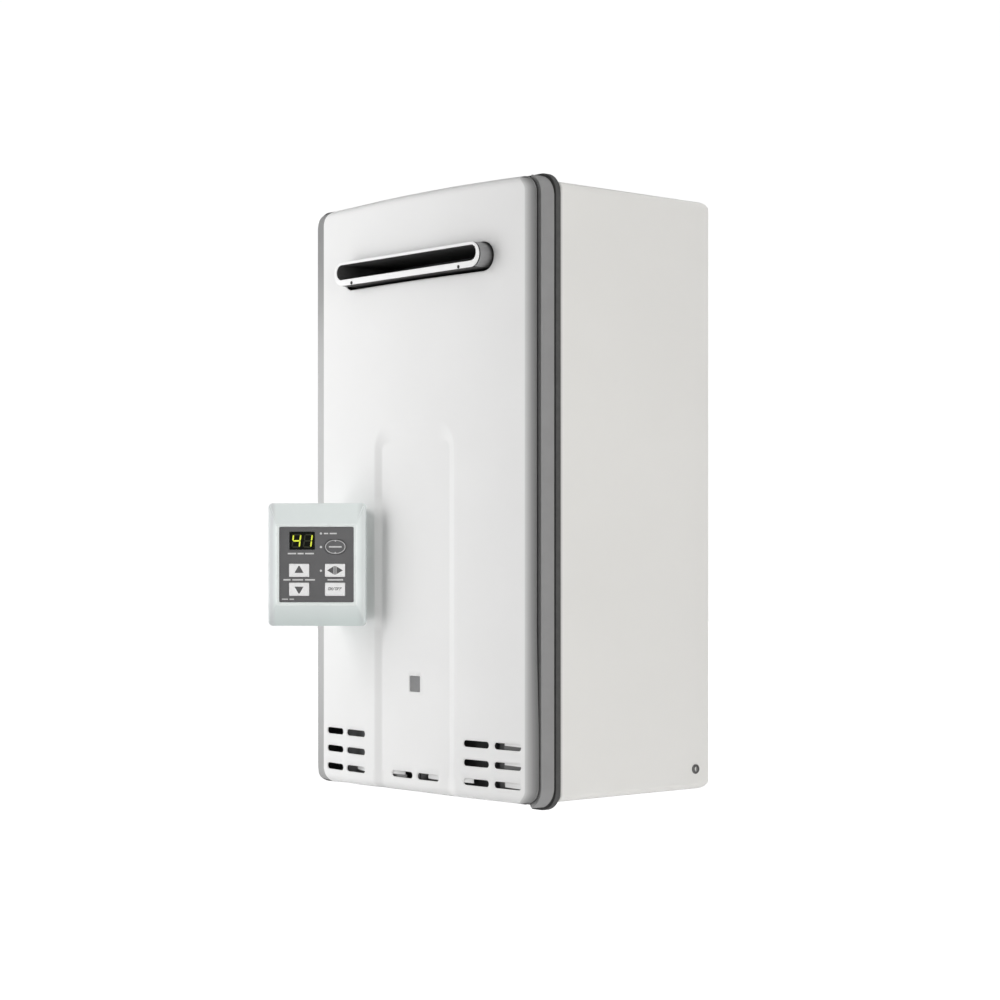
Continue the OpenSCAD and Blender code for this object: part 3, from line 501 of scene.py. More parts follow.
RIGHT_SHADE = [(-1.0, 0.0), (0.5, 0.30), (1.5, 0.342), (2.6, 0.411), (3.65, 0.486), (4.7, 0.539), (5.8, 0.588), (6.85, 0.647), (7.9, 0.713), (9.0, 0.746), (10.05, 0.774), (11.1, 0.83), (12.8, 0.86)]


# Painted shade for the cover sheet: rolled sides and recess walls darker, top edge paler as painted light
def edge_shade(x, z):
    e = HW - abs(x)
    b = border(z, STRIP_R if x > 0 else STRIP_L)
    # painted light: the top edge is painted paler than the sheet
    top = -0.08 * smooth((6.0 - (HH - z)) / 4.0)
    if x > 0:
        return table(RIGHT_SHADE, b - e) if b - e > -1.0 else top + recess_wall_painted_shade_and_light(x, z)
    if e > b:
        return top + recess_wall_painted_shade_and_light(x, z)
    return table(LEFT_SHADE, z)


SLOTS = []
for r in range(3):
    SLOTS += [(-137.2, -247.6 - 18.7 * r, 30.9), (-98.0, -247.6 - 18.7 * r, 33.5), (95.2, -246.8 - 18.7 * r, 35.7), (138.3, -246.8 - 18.7 * r, 35.9)]
SLOTS += [(REC_X - 20.7, -284.6, 33.5), (REC_X + 20.7, -284.6, 33.5)]
holes = [(stadium(l + 1.2, 6.5 + 1.2, x, z, 10), stadium(l, 6.5, x, z, 10)) for x, z, l in SLOTS]
holes.append((stadium(239.8 + 1.6, 28.4 + 1.6, 0.0, 228.1, 22), stadium(239.8, 28.4, 0.0, 228.1, 22)))
holes.append((rrect(16.6 + 0.8, 16.0 + 0.8, 1.4, 4, 0.0, -192.0), rrect(16.6, 16.0, 1.0, 4, 0.0, -192.0)))


def lines(lo, hi, zones, step):
    """Grid lines between lo and hi, with finer zones (a, b, step)."""
    out, t = [], lo
    while t < hi - 1e-6:
        out.append(t)
        s = step
        for a, b, zs in zones:
            if a - 1e-6 <= t < b - 1e-6:
                s = zs
                break
            if t < a:
                s = min(s, a - t)
        t += s
    out.append(hi)
    return out


def inside(pts, x, z):
    c = False
    n = len(pts)
    j = n - 1
    for i in range(n):
        xi, zi = pts[i]
        xj, zj = pts[j]
        if (zi > z) != (zj > z) and x < (xj - xi) * (z - zi) / (zj - zi) + xi:
            c = not c
        j = i
    return c


def near(pts, x, z, lim):
    return any((px - x) ** 2 + (pz - z) ** 2 < lim * lim for px, pz in pts)


def subdivide(pts, step):
    out = []
    n = len(pts)
    for i in range(n):
        ax, az = pts[i]
        bx, bz = pts[(i + 1) % n]
        m = max(1, int(math.ceil(math.hypot(bx - ax, bz - az) / step)))
        for k in range(m):
            out.append((ax + (bx - ax) * k / m, az + (bz - az) * k / m))
    return out


outline = subdivide(rrect(2 * HW, 2 * HH, CR, 14), 7.0)
inner_rings = [subdivide(offset_rr(2 * HW, 2 * HH, CR, d, 14), 6.0) for d in (0.5, 1.2, 2.2, 3.4, 4.8, 6.2, 7.6, 9.2, 11.0, 13.0, 15.0, 16.6)]
holes = [(subdivide(a, 4.0), subdivide(b, 4.0)) for a, b in holes]
# the outer and inner lines of a hole need the same number of points
fixed = []
for (a, b), raw in zip(holes, range(len(holes))):
    fixed.append(a)
hole_in = []
for k, a in enumerate(fixed):
    if k < len(SLOTS):
        cx, cz = SLOTS[k][:2]
        d = 0.6
    elif k == len(SLOTS):
        cx, cz, d = 0.0, 228.1, 0.8
    else:
        cx, cz, d = 0.0, -192.0, 0.4
    n = len(a)
    ring = []
    for i in range(n):
        (x0, z0), (x1, z1), (x2, z2) = a[i - 1], a[i], a[(i + 1) % n]
        tx, tz = x2 - x0, z2 - z0
        l = math.hypot(tx, tz)
        ring.append((x1 - tz / l * d, z1 + tx / l * d))
    hole_in.append(ring)

xs = lines(-156.0, 156.0, [(-66.0, -50.0, 1.0), (50.0, 66.0, 1.0)], 6.5)
zs = lines(-281.0, 281.0, [(40.0, 78.0, 1.6)], 7.0)
pts, edges = [], []


def add_loop(loop):
    i0 = len(pts)
    pts.extend(loop)
    n = len(loop)
    edges.extend((i0 + i, i0 + (i + 1) % n) for i in range(n))
    return list(range(i0, i0 + n))


outline_ids = add_loop(outline)
hole_ids = [add_loop(a) for a in fixed]
for sd, sw in ((-1, STRIP_L), (1, STRIP_R)):
    for off in ((-0.2, 0.2) if sd < 0 else (-1.0, 0.5)):
        line, z = [], -HH + 0.9
        while z <= HH - 0.9:
            x = sd * (HW - border(z, sw) + off)
            if sdf_rr(x, z, HW, HH, CR)[0] > 0.6:
                line.append((x, z))
            z += 1.2 if abs(z) > HH - 17.0 else 6.0
        i0 = len(pts)
        pts.extend(line)
        edges.extend((i0 + i, i0 + i + 1) for i in range(len(line) - 1))


def by_border(x, z):
    return abs(HW - abs(x) - border(z, STRIP_R if x > 0 else STRIP_L)) < (1.4 if x > 0 else 1.0)


for ring in inner_rings:
    pts.extend(p for p in ring if not by_border(*p) and not any(inside(a, *p) for a in fixed) and not any(near(a, *p, 1.0) for a in fixed))
last = offset_rr(2 * HW, 2 * HH, CR, 17.0, 14)
for x in xs:
    for z in zs:
        d, w = sdf_rr(x, z, HW, HH, CR)
        if d < 17.4 or by_border(x, z):
            continue
        skip = False
        for a in fixed:
            bx = [p[0] for p in a]
            bz = [p[1] for p in a]
            if min(bx) - 1.5 < x < max(bx) + 1.5 and min(bz) - 1.5 < z < max(bz) + 1.5:
                if inside(a, x, z) or near(a, x, z, 1.4):
                    skip = True
                    break
        if not skip:
            pts.append((x, z))
r_v, r_e, r_f, o_v, o_e, o_f = delaunay_2d_cdt([Vector(p) for p in pts], edges, [], 0, 1e-5)
where = {}
for new, olds in enumerate(o_v):
    for o in olds:
        where[o] = new
tris = []
for f in r_f:
    cx = sum(r_v[i].x for i in f) / len(f)
    cz = sum(r_v[i].y for i in f) / len(f)
    if sdf_rr(cx, cz, HW, HH, CR)[0] < -0.02:
        continue
    if any(min(p[0] for p in a) < cx < max(p[0] for p in a) and min(p[1] for p in a) < cz < max(p[1] for p in a) and inside(a, cx, cz) for a in fixed):
        continue
    tris.append(tuple(f))
T = 1.2
Y_LIP = -245.0


def squeeze(v, lim, start):
    a = abs(v)
    if a > start:
        a = start + (a - start) * (lim - start) / (lim + 1.3 - start)
    return math.copysign(a, v)


cover = Build()
co_out = [(p.x, front(p.x, p.y), p.y) for p in r_v]
co_in = []
for p in r_v:
    x, z = squeeze(p.x, HW - 1.3, 168.0), squeeze(p.y, HH - 1.3, 293.0)
    y = front(p.x, p.y) + T
    d, w = sdf_rr(p.x, p.y, HW, HH, CR)
    if d < 1.4:
        y = min(y, Y_LIP - 1.25)
    co_in.append((x, y, z))
A = cover.loop(co_out)
B = cover.loop(co_in)
for f in tris:
    cover.face([A[i] for i in f])
    cover.face([B[i] for i in reversed(f)], 1)
o0 = [A[where[i]] for i in outline_ids]
n_out = len(outline)


def ring_at(d, y):
    src = outline
    res = []
    for x, z in src:
        # move the point in along the outline's normal
        qx, qz = abs(x) - (HW - CR), abs(z) - (HH - CR)
        ox, oz = max(qx, 0.0), max(qz, 0.0)
        l = math.hypot(ox, oz)
        nx, nz = (ox / l, oz / l) if l > 1e-9 else ((1, 0) if qx > qz else (0, 1))
        res.append((x - math.copysign(nx, x) * d if nx else x, y, z - math.copysign(nz, z) * d if nz else z))
    return res


rim = cover.loop([(x, max(front(x, z) + 0.5, Y_LIP - 0.8), z) for x, z in outline])
a1 = cover.loop(ring_at(0.0, Y_LIP - 0.35))
a1b = cover.loop(ring_at(0.35, Y_LIP))
a2 = cover.loop(ring_at(7.0, Y_LIP))
a2b = cover.loop(ring_at(7.5, Y_LIP + 0.6))
a3 = cover.loop(ring_at(7.5, -224.7))
a4 = cover.loop(ring_at(8.7, -224.7))
a5 = cover.loop(ring_at(8.7, Y_LIP - 1.2))
a6 = [B[where[i]] for i in outline_ids]
seq = [o0, rim, a1, a1b, a2, a2b, a3, a4, a5, a6]
# the back lip and skirts are near-black: painted shade in the gap by the trims
for i, (p, q) in enumerate(zip(seq, seq[1:])):
    cover.bridge(p, q, 0 if i < 3 else 1)
for ids, ring in zip(hole_ids, hole_in):
    h0 = [A[where[i]] for i in ids]
    h1 = cover.loop([((x0 * 0.35 + x1 * 0.65), front(x0, z0) + 0.22, (z0 * 0.35 + z1 * 0.65)) for (x0, z0), (x1, z1) in zip([pts[i] for i in ids], ring)])
    h2 = cover.loop([(x1, front(x0, z0) + 0.6, z1) for (x0, z0), (x1, z1) in zip([pts[i] for i in ids], ring)])
    h3 = cover.loop([(x1, front(x0, z0) + T, z1) for (x0, z0), (x1, z1) in zip([pts[i] for i in ids], ring)])
    h4 = [B[where[i]] for i in ids]
    for p, q in zip([h0, h1, h2, h3], [h1, h2, h3, h4]):
        cover.bridge(p, q)


def corner_lean(x, z):
    """The lower corners swell a little, outwards and back."""
    k = smooth((abs(x) - 161.8) / 11.0) * smooth((-125.0 - z) / 125.0)
    return math.copysign(1.4 * k, x), 1.2 * k


# How far the top and bottom edges stray from straight, across the front
TOP_LEAN = [(-176, 0.35), (-110, 0.35), (-60, 0.9), (-20, 1.2), (60, 1.2), (105, 0.7), (140, 0.3), (165, -0.8), (176, -0.8)]
LOW_LEAN = [(-176, -1.4), (-138, -1.2), (-125, -0.5), (-80, -0.5), (-50, 0.0), (176, 0.0)]
flat = [(v[0] / MM, v[1] / MM, v[2] / MM) for v in cover.v]
for v, (x, y, z) in zip(cover.v, flat):
    dx, dy = corner_lean(x, z)
    if x < -156.6 and z < -283.0:
        # the lower left corner is a little squarer
        u, w = (-156.6 - x) / 18.0, (-283.0 - z) / 18.0
        k = min(1.0, 2.0 * u) * min(1.0, 2.0 * w) * 4.0 * u * u * w * w / max(1e-9, (u * u + w * w) ** 2) * math.hypot(u, w) ** 2
        dx -= 1.3 * k
        v.z -= 1.3 * k * MM
    v.x += dx * MM
    v.y += dy * MM
    v.z += table(TOP_LEAN, x) * smooth((z - 262.0) / 39.0) * MM
    v.z += table(LOW_LEAN, x) * smooth((-z - 288.0) / 13.0) * MM
cover_obj = cover.done("front_cover_sheet", "cover", [paint, inside_painted_shade], slot="white_paint", angle=48.0)
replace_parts(cover_obj, "front_cover")
att = cover_obj.data.attributes.new("edge_shade", "FLOAT", "POINT")
vals = []
for i, (x, y, z) in enumerate(flat):
    vals.append(edge_shade(x, z) if i < len(r_v) else (0.0 if y > -235 else edge_shade(x, z)))
att.data.foreach_set("value", vals)

# Louver tongues: strips behind parts of some slots. A strip spans u0..u1 from the slot's middle, and v0..v1 at each
# of its ends, at depths dl..dr behind the sheet from left to right, and carries painted shade from sl at its left end
# to sr at its right; the strips painted near-black are dark sheets put behind the slots as painted shade
tg, tg_painted_shade = Build(), []


def tongue(cx, cz, u0, u1, left, right, dl, dr, sl, sr, k=0):
    nu = 10
    loops = []
    for j, layer in ((0, 0.0), (1, 0.0), (1, 0.8), (0, 0.8)):
        row = []
        for i in range(nu + 1):
            t = i / nu
            x = cx + u0 + (u1 - u0) * t
            v = left[j] + (right[j] - left[j]) * t
            row.append((x, front(x, cz) + T + 0.05 + dl + (dr - dl) * t + layer, cz + v))
            tg_painted_shade.append(sl + (sr - sl) * t)
        loops.append(tg.loop(row))
    for p, q in zip(loops, loops[1:] + loops[:1]):
        for i in range(nu):
            tg.face((p[i], p[i + 1], q[i + 1], q[i]), k)
    for j in (0, nu):
        tg.face([l[j] for l in loops], k)


FULL = (-4.3, 4.3)
DEEP = (-6.0, 4.3)
for r in (0, 1):
    zl, zr = -247.6 - 18.7 * r, -246.8 - 18.7 * r
    tongue(-98.0, zl, -36.0, 17.6, DEEP, DEEP, 14.0, 6.5, 1.0, 0.88)
    tongue(95.2, zr, -32.0, 18.6, DEEP, DEEP, 9.0, 8.0, 1.0, 1.0, 1)
    tongue(138.3, zr, -34.0, -3.0, DEEP, DEEP, 12.0, 8.0, 0.95, 0.93)
    tongue(138.3, zr, -9.0, 18.6, (-4.3, 0.9), (-4.3, 0.1), 3.4, 2.4, 0.94, 0.92)
    tongue(138.3, zr, -5.0, 18.6, (1.0, 4.3), (0.4, 4.3), 0.4, 0.0, 0.12, 0.05)
tongue(-98.0, -285.0, -36.0, 17.6, DEEP, DEEP, 14.0, 6.5, 1.0, 1.0)
tongue(-98.0, -285.0, -2.0, 17.6, (-0.2, 3.0), (-1.3, 4.3), 3.2, 0.2, 0.45, 0.05)
tongue(REC_X - 20.7, -284.6, -28.0, 17.6, DEEP, DEEP, 9.0, 8.0, 1.0, 1.0)
tongue(REC_X - 20.7, -284.6, -17.6, 3.4, (-4.3, -0.4), (-4.3, -0.4), 2.4, 2.4, 0.62, 0.9)
tongue(REC_X - 20.7, -284.6, -17.6, 2.4, (-0.5, 4.3), (-0.3, 4.3), 0.0, 1.2, 0.16, 0.4)
tongue(REC_X + 20.7, -284.6, -28.0, 17.6, DEEP, DEEP, 9.0, 8.0, 1.0, 0.94)
tongue(REC_X + 20.7, -284.6, -1.2, 17.6, (-1.2, 4.3), (-1.6, 4.3), 0.8, 0.0, 0.3, 0.08)
tongue(95.2, -284.2, -32.0, 18.6, DEEP, DEEP, 9.0, 8.0, 1.0, 1.0, 1)
tongue(95.2, -284.2, -18.6, -5.2, (-1.1, 4.3), (-1.1, 4.3), 0.0, 0.6, 0.05, 0.15)
tongue(138.3, -284.2, -34.0, 18.6, DEEP, DEEP, 12.0, 6.0, 0.95, 0.8)
tongue(138.3, -284.2, -4.5, 18.6, (-1.6, 4.3), (-2.3, 4.3), 0.5, 0.0, 0.2, 0.05)
tg_obj = tg.done("louver_tongues", "cover", [paint, inside_painted_shade], slot="white_paint", angle=30.0)
tg_att = tg_obj.data.attributes.new("edge_shade", "FLOAT", "POINT")
tg_att.data.foreach_set("value", tg_painted_shade)

# ------------------------------------------------------------------ seal, trims, case
SEAL_W, SEAL_H, SEAL_Z = 352.2, 614.2, -1.2
seal = Build()
prof = [(0.0, -216.0), (0.0, -221.6), (0.4, -222.0), (2.2, -222.2), (2.2, -223.6), (2.8, -224.0), (17.5, -224.0), (17.5, -216.0)]


def seal_line(d):
    """The seal's line: it reaches lower only under the right trim's foot."""
    ring = offset_rr(SEAL_W, SEAL_H, 21.5, d, 14, 0.0, SEAL_Z)
    flat_z, foot_z = -305.7 + d, min(z for x, z in ring)
    ring = [(x, z if x > 0 else max(z, flat_z)) for x, z in ring]
    k = max(i for i, p in enumerate(ring) if p[0] < 0 and p[1] < -250.0)
    return ring[:k + 1] + [(40.0, max(flat_z, foot_z)), (141.0, max(flat_z, foot_z) + 1.3), (141.4, foot_z)] + ring[k + 1:]


rings = [seal.loop(xzy(seal_line(d), y)) for d, y in prof]
# the groove's faces take the darker rubber: painted shade
for i in range(len(rings)):
    seal.bridge(rings[i], rings[(i + 1) % len(rings)], 1 if i in (2, 3, 4) else 0)
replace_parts(seal.done("cover_seal_ring", "heater", [seal_black, seal_groove_painted_shade], slot="seal_rubber", angle=40.0), "cover_seal")

# Dark strip in the gap between each trim and the cover: a dark sheet put in the gap as painted shade
for sd in (-1, 1):
    b = Build()
    go, gi = rrect(346.6, 600.0, 17.0, 14, 0.0, -0.3), rrect(336.4, 594.8, 11.5, 14, 0.0, -0.3)
    idx = list(range(45, 60)) + list(range(15)) if sd > 0 else list(range(15, 45))
    runs = []
    for g in (go, gi):
        run = []
        for j0, j1 in zip(idx, idx[1:]):
            m = 60 if {j0, j1} in ({59, 0}, {29, 30}) else 1
            run += [(g[j0][0] + (g[j1][0] - g[j0][0]) * i / m, g[j0][1] + (g[j1][1] - g[j0][1]) * i / m) for i in range(m)]
        run.append(g[idx[-1]])
        runs.append([(x + 1.3 * corner_lean(math.copysign(174.6, x), z)[0], z) for x, z in run])
    lp_ = [b.loop(xzy(g, y)) for g, y in ((runs[0], -241.05), (runs[0], -242.3), (runs[1], -242.3), (runs[1], -241.05))]
    n_run = len(runs[0])
    for p, q in zip(lp_, lp_[1:] + lp_[:1]):
        for i in range(n_run - 1):
            b.face((p[i], p[i + 1], q[i + 1], q[i]))
    for k in (0, n_run - 1):
        b.face([l[k] for l in lp_])
    b.done("gap_strip_right" if sd > 0 else "gap_strip_left", "heater", [gap_painted_shade], slot="seal_rubber", angle=40.0)

left_trim = refine("left_trim", trim_grey, 1.0, 3, slot="grey_trim")
for v in left_trim.data.vertices:
    if v.co[2] < -288.0 * MM:
        v.co[2] = -288.0 * MM + (v.co[2] + 288.0 * MM) * 0.79
refine("right_trim", trim_grey, 1.0, 3, slot="grey_trim")
case_obj = refine("case_shell", case_paint, 0.0, slot="case_paint", angle=38.0)


def round_normal(p, n):
    """The true normal of the case's rounded folds: 8 mm along the sides, 12 mm at the back."""
    x, y, z = p[0] / MM, p[1] / MM, p[2] / MM + 1.4
    dx, dz = max(abs(x) - 168.0, 0.0), max(abs(z) - 290.5, 0.0)
    if dx > 0.0 and dz > 0.0 and abs(math.hypot(dx, dz) - 8.0) < 0.15:
        t = Vector((math.copysign(dx, x), 0.0, math.copysign(dz, z))).normalized()
        return t if t.dot(n) > 0.8 else n
    dy, dz = max(y + 23.0, 0.0), max(abs(z) - 286.5, 0.0)
    if dy > 0.0 and dz > 0.0 and abs(math.hypot(dy, dz) - 12.0) < 0.15:
        t = Vector((0.0, dy, math.copysign(dz, z))).normalized()
        return t if t.dot(n) > 0.8 else n
    return n


case_obj.modifiers.clear()
cm = case_obj.data
normals = [None] * len(cm.loops)
for poly in cm.polygons:
    for li in poly.loop_indices:
        normals[li] = round_normal(cm.vertices[cm.loops[li].vertex_index].co, poly.normal)
cm.normals_split_custom_set([tuple(n) for n in normals])
refine("connection_plate", galv, 0.3, 1, slot="galvanised")
refine("upper_wall_bracket", galv, 0.5, 2, slot="galvanised")
refine("lower_wall_bracket", galv, 0.5, 2, slot="galvanised")
refine("bracket_screws", screw_steel, 0.6, 2, slot="screw_steel")
refine("cover_screws", screw_steel, 0.5, 2, slot="screw_steel")

# Side screws: a light centre in a dark ring
for s in (-1, 1):
    b = Build(lambda p, s=s: (s * p[0], p[1], p[2]))
    cy, cz = -31.0, -279.0

    def disc(r, x, n=40):
        return [(x, cy + r * math.cos(2 * math.pi * i / n), cz + r * math.sin(2 * math.pi * i / n)) for i in range(n)]

    seq = [b.loop(disc(r, x)) for r, x in ((4.9, BACK_W + 0.02), (4.9, BACK_W + 0.9), (4.6, BACK_W + 1.3), (4.0, BACK_W + 1.5), (3.0, BACK_W + 1.5), (2.8, BACK_W + 1.3), (2.7, BACK_W + 0.9))]
    for i, (p, q) in enumerate(zip(seq, seq[1:])):
        b.bridge(p, q, 1)
    b.cap(seq[0], 1)
    mid = [b.loop([(x, cy + r * 0.78 * math.cos(2 * math.pi * i / 40), cz + r * math.sin(2 * math.pi * i / 40)) for i in range(40)])
           for r, x in ((2.75, BACK_W + 0.9), (2.6, BACK_W + 1.25), (2.0, BACK_W + 1.6), (1.0, BACK_W + 1.8))]
    b.bridge(seq[-1], mid[0], 1)
    for p, q in zip(mid, mid[1:]):
        b.bridge(p, q, 0)
    b.cap(mid[-1], 0)
    sh = [b.loop(disc(2.4, x, 24)) for x in (BACK_W - 9.0, BACK_W)]
    b.bridge(sh[0], sh[1], 0)
    b.cap(sh[0], 0)
    b.cap(sh[1], 0)
    o = b.done("side_screw_right" if s > 0 else "side_screw_left", "heater", [screw_steel, dark_screw], slot="screw_steel", angle=40.0)
    if s > 0:
        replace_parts(o, "case_screws")

# ------------------------------------------------------------------ flue outlet
fl = Build()
ZF = 229.15
O = stadium(232.0, 24.7, 0.0, ZF, 30)
I = stadium(223.6, 15.3, 0.0, ZF + 1.6, 30)
YF = -268.5


def toward(d):
    out = []
    for (ox, oz), (ix, iz) in zip(O, I):
        l = math.hypot(ix - ox, iz - oz)
        out.append((ox + (ix - ox) / l * d, oz + (iz - oz) / l * d))
    return out


def back_from(d):
    out = []
    for (ox, oz), (ix, iz) in zip(O, I):
        l = math.hypot(ix - ox, iz - oz)
        out.append((ix - (ix - ox) / l * d, iz - (iz - oz) / l * d))
    return out


# the step just behind the rim takes the near-black: painted shade
fl_seq = [(fl.loop(xzy(stadium(248.0, 44.7, 0.0, ZF, 30), -190.0)), 1),
          (fl.loop(xzy(stadium(248.0, 44.7, 0.0, ZF, 30), -192.0)), 1),
          (fl.loop(xzy(O, -192.0)), 1), (fl.loop(xzy(O, -252.0)), 1), (fl.loop(xzy(O, YF + 2.6)), 1),
          (fl.loop(xzy(toward(0.7), YF + 2.4)), 2), (fl.loop(xzy(toward(0.7), YF + 1.3)), 2), (fl.loop(xzy(O, YF + 1.1)), 0)]
for a in (0, 30, 60, 90):
    t = math.radians(a)
    fl_seq.append((fl.loop(xzy(toward(0.8 * (1 - math.cos(t))), YF + 0.8 - 0.8 * math.sin(t))), 0))
for a in (90, 60, 30, 0):
    t = math.radians(a)
    fl_seq.append((fl.loop(xzy(back_from(0.6 * (1 - math.cos(t))), YF + 0.6 - 0.6 * math.sin(t))), 0))
# the inside of the duct is near-black: painted shade
fl_seq += [(fl.loop(xzy(I, YF + 1.4)), 3), (fl.loop(xzy(I, -231.0)), 3), (fl.loop(xzy(I, -190.0)), 3)]
for (p, k), (q, k2) in zip(fl_seq, fl_seq[1:]):
    fl.bridge(p, q, k2)
fl.bridge(fl_seq[-1][0], fl_seq[0][0], 1)
# painted shade: the underside of the duct is made near-black
for i, f in enumerate(fl.f):
    cz = sum(fl.v[j].z for j in f) / len(f) / MM
    cy = sum(fl.v[j].y for j in f) / len(f) / MM
    if fl.k[i] == 1 and cz < ZF - 11.6 and cy < -193.0:
        fl.k[i] = 2
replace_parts(fl.done("flue_outlet", "heater", [rim_painted_reflection, flue_body, black_and_underside_shade, duct_black], slot="stainless", angle=40.0), "flue_terminal")
refine("flue_guard", duct_black, 0.3, 1, slot="black_paint")
b = Build()
for sd in (-1, 1):
    def dot(r, y, sd=sd):
        return b.loop([(sd * 86.0 + r * math.cos(2 * math.pi * i / 28), y, 218.6 + r * math.sin(2 * math.pi * i / 28)) for i in range(28)])

    seq = [dot(0.8, YF + 4.5), dot(0.8, YF + 0.3), dot(1.75, YF + 0.3), dot(1.75, YF - 0.25), dot(1.4, YF - 0.5)]
    for p, q in zip(seq, seq[1:]):
        b.bridge(p, q)
    b.cap(seq[0])
    b.cap(seq[-1])
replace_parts(b.done("flue_rim_screws", "heater", [black_and_underside_shade], slot="black_paint", angle=40.0), "flue_screws")

# ------------------------------------------------------------------ controller
C45 = math.sqrt(0.5)


def ctl(p):
    u, y, v = p
    return (-90.0 + (u - y) * C45, -310.5 + (u + y) * C45, -72.0 + v)


CW, CH = 100.4, 125.4
bz = Build(ctl)
N = 10


def rr_y(w, h, r, y, cz=0.0):
    return bz.loop([(u, y, v) for u, v in rrect(w, h, r, N, 0.0, cz)])


bseq = [rr_y(CW, CH, 4.5, 10.0), rr_y(CW, CH, 4.5, 5.2), rr_y(CW - 0.35, CH - 0.35, 4.4, 4.4)]
for k in (0.0, 0.04, 0.12, 0.3, 0.5, 0.7, 0.86, 0.95, 1.0):
    w_, h_ = CW - 1.2 + (83.4 - CW + 1.2) * k, CH - 1.2 + (83.8 - CH + 1.2) * k
    bseq.append(rr_y(w_, h_, 4.2 - 1.7 * k, 3.6 - 0.3 * smooth(k / 0.12) - 3.2 * k))
lip = [rr_y(82.9, 83.3, 2.3, -0.05), rr_y(82.1, 82.5, 2.2, -0.3), rr_y(79.2, 79.6, 1.9, -0.34), rr_y(77.4, 77.8, 1.7, -0.14), rr_y(76.8, 77.2, 1.6, 0.3), rr_y(76.8, 77.2, 1.6, 3.1)]
tail = [rr_y(71.0, 71.4, 1.6, 3.1), rr_y(71.0, 71.4, 1.6, 4.5), rr_y(CW - 9, CH - 9, 3.0, 4.5), rr_y(CW - 9, CH - 9, 3.0, 10.0)]
allseq = bseq + lip + tail
for i, (p, q) in enumerate(zip(allseq, allseq[1:])):
    bz.bridge(p, q, 1 if len(bseq) - 1 <= i < len(bseq) + 4 else 0)
bz.bridge(allseq[-1], allseq[0], 0)
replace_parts(bz.done("controller_front_frame", "cover", [pale, lip_white], slot="pale_plastic", angle=24.0), "controller_bezel")
refine("controller_back", pale, 0.6, 2, slot="pale_plastic")
refine("controller_wedge", pale, 0.6, 2, slot="pale_plastic")
refine("controller_panel", panel_grey, 0.15, 1, slot="panel_plastic")
refine("display_window", glass_black, 0.2, 2, slot="display_black")
refine("sight_window", window_grey, 0.3, 2, slot="window_grey")
for n in ("up_button", "down_button", "transfer_button", "power_button"):
    refine(n, key_white, 0.35, 3, slot="key_plastic")
refine("priority_button", panel_grey, 0.4, 3, slot="panel_plastic")


def mark(name, body, shapes, y, mat, thick=0.06):
    """Thin raised prints on the controller: shapes are closed outlines in its own (u, v)."""
    b = Build(ctl)
    for s in shapes:
        lo = b.loop([(u, y, v) for u, v in s])
        hi = b.loop([(u, y - thick, v) for u, v in s])
        b.bridge(lo, hi)
        b.cap(hi)
        b.cap(list(reversed(lo)))
    o = b.done(name, body, [mat], smooth=False)
    return o


# Thin white ridges where the frame's bevels meet at its upper corners: painted highlights along the mitre lines
for sd in (-1, 1):
    b = Build(ctl)
    runs = []
    for t in (0.04, 0.12, 0.35, 0.6, 0.8, 0.94):
        w_, h_ = CW - 1.2 + (83.4 - CW + 1.2) * t, CH - 1.2 + (83.8 - CH + 1.2) * t
        u_, v_ = w_ / 2 - 0.35 * (4.2 - 1.7 * t), h_ / 2 - 0.35 * (4.2 - 1.7 * t)
        y_ = 3.6 - 0.3 * smooth(t / 0.12) - 3.2 * t
        runs.append(b.loop([(sd * (u_ - 0.45), y_ + 0.3, v_), (sd * (u_ - 0.3), y_ - 0.22, v_), (sd * (u_ + 0.3), y_ - 0.22, v_), (sd * (u_ + 0.45), y_ + 0.3, v_)]))
    for p, q in zip(runs, runs[1:]):
        b.bridge(p, q)
    b.cap(runs[0])
    b.cap(runs[-1])
    b.done("frame_highlight_ridge_right" if sd > 0 else "frame_highlight_ridge_left", "cover", [lip_white], slot="pale_plastic", angle=60.0)

K1, K2, K3, K4 = (-17.7, -5.9), (-17.7, -25.2), (19.3, -5.9), (19.3, -25.2)
YK = -0.5
mark("up_arrow", "up_key", [[(K1[0] - 4.6, K1[1] - 2.6), (K1[0] + 4.6, K1[1] - 2.6), (K1[0] + 0.5, K1[1] + 4.6), (K1[0] - 0.5, K1[1] + 4.6)]], YK, print_grey)
mark("down_arrow", "down_key", [[(K2[0] - 4.6, K2[1] + 2.6), (K2[0] + 4.6, K2[1] + 2.6), (K2[0] + 0.5, K2[1] - 4.4), (K2[0] - 0.5, K2[1] - 4.4)]], YK, print_grey)
mark("side_arrows", "transfer_key", [[(K3[0] - 8.0, K3[1]), (K3[0] - 1.7, K3[1] - 3.9), (K3[0] - 1.7, K3[1] + 3.9)],
                                     [(K3[0] + 8.0, K3[1]), (K3[0] + 1.7, K3[1] - 3.9), (K3[0] + 1.7, K3[1] + 3.9)]], YK, print_grey)
mark("side_arrows_bar", "transfer_key", [[(K3[0] - 1.5, K3[1] - 4.3), (K3[0] + 1.5, K3[1] - 4.3), (K3[0] + 1.5, K3[1] + 4.3), (K3[0] - 1.5, K3[1] + 4.3)]], YK, print_light)


def bars(u0, u1, v, h, words):
    """A blank line of print: short bars whose lengths stand for nothing."""
    out, u = [], u0
    total = sum(words) + 0.55 * (len(words) - 1) * 1.0
    k = (u1 - u0) / total
    for w in words:
        out.append([(u, v - h / 2), (u + w * k, v - h / 2), (u + w * k, v + h / 2), (u, v + h / 2)])
        u += (w + 0.55) * k
    return out


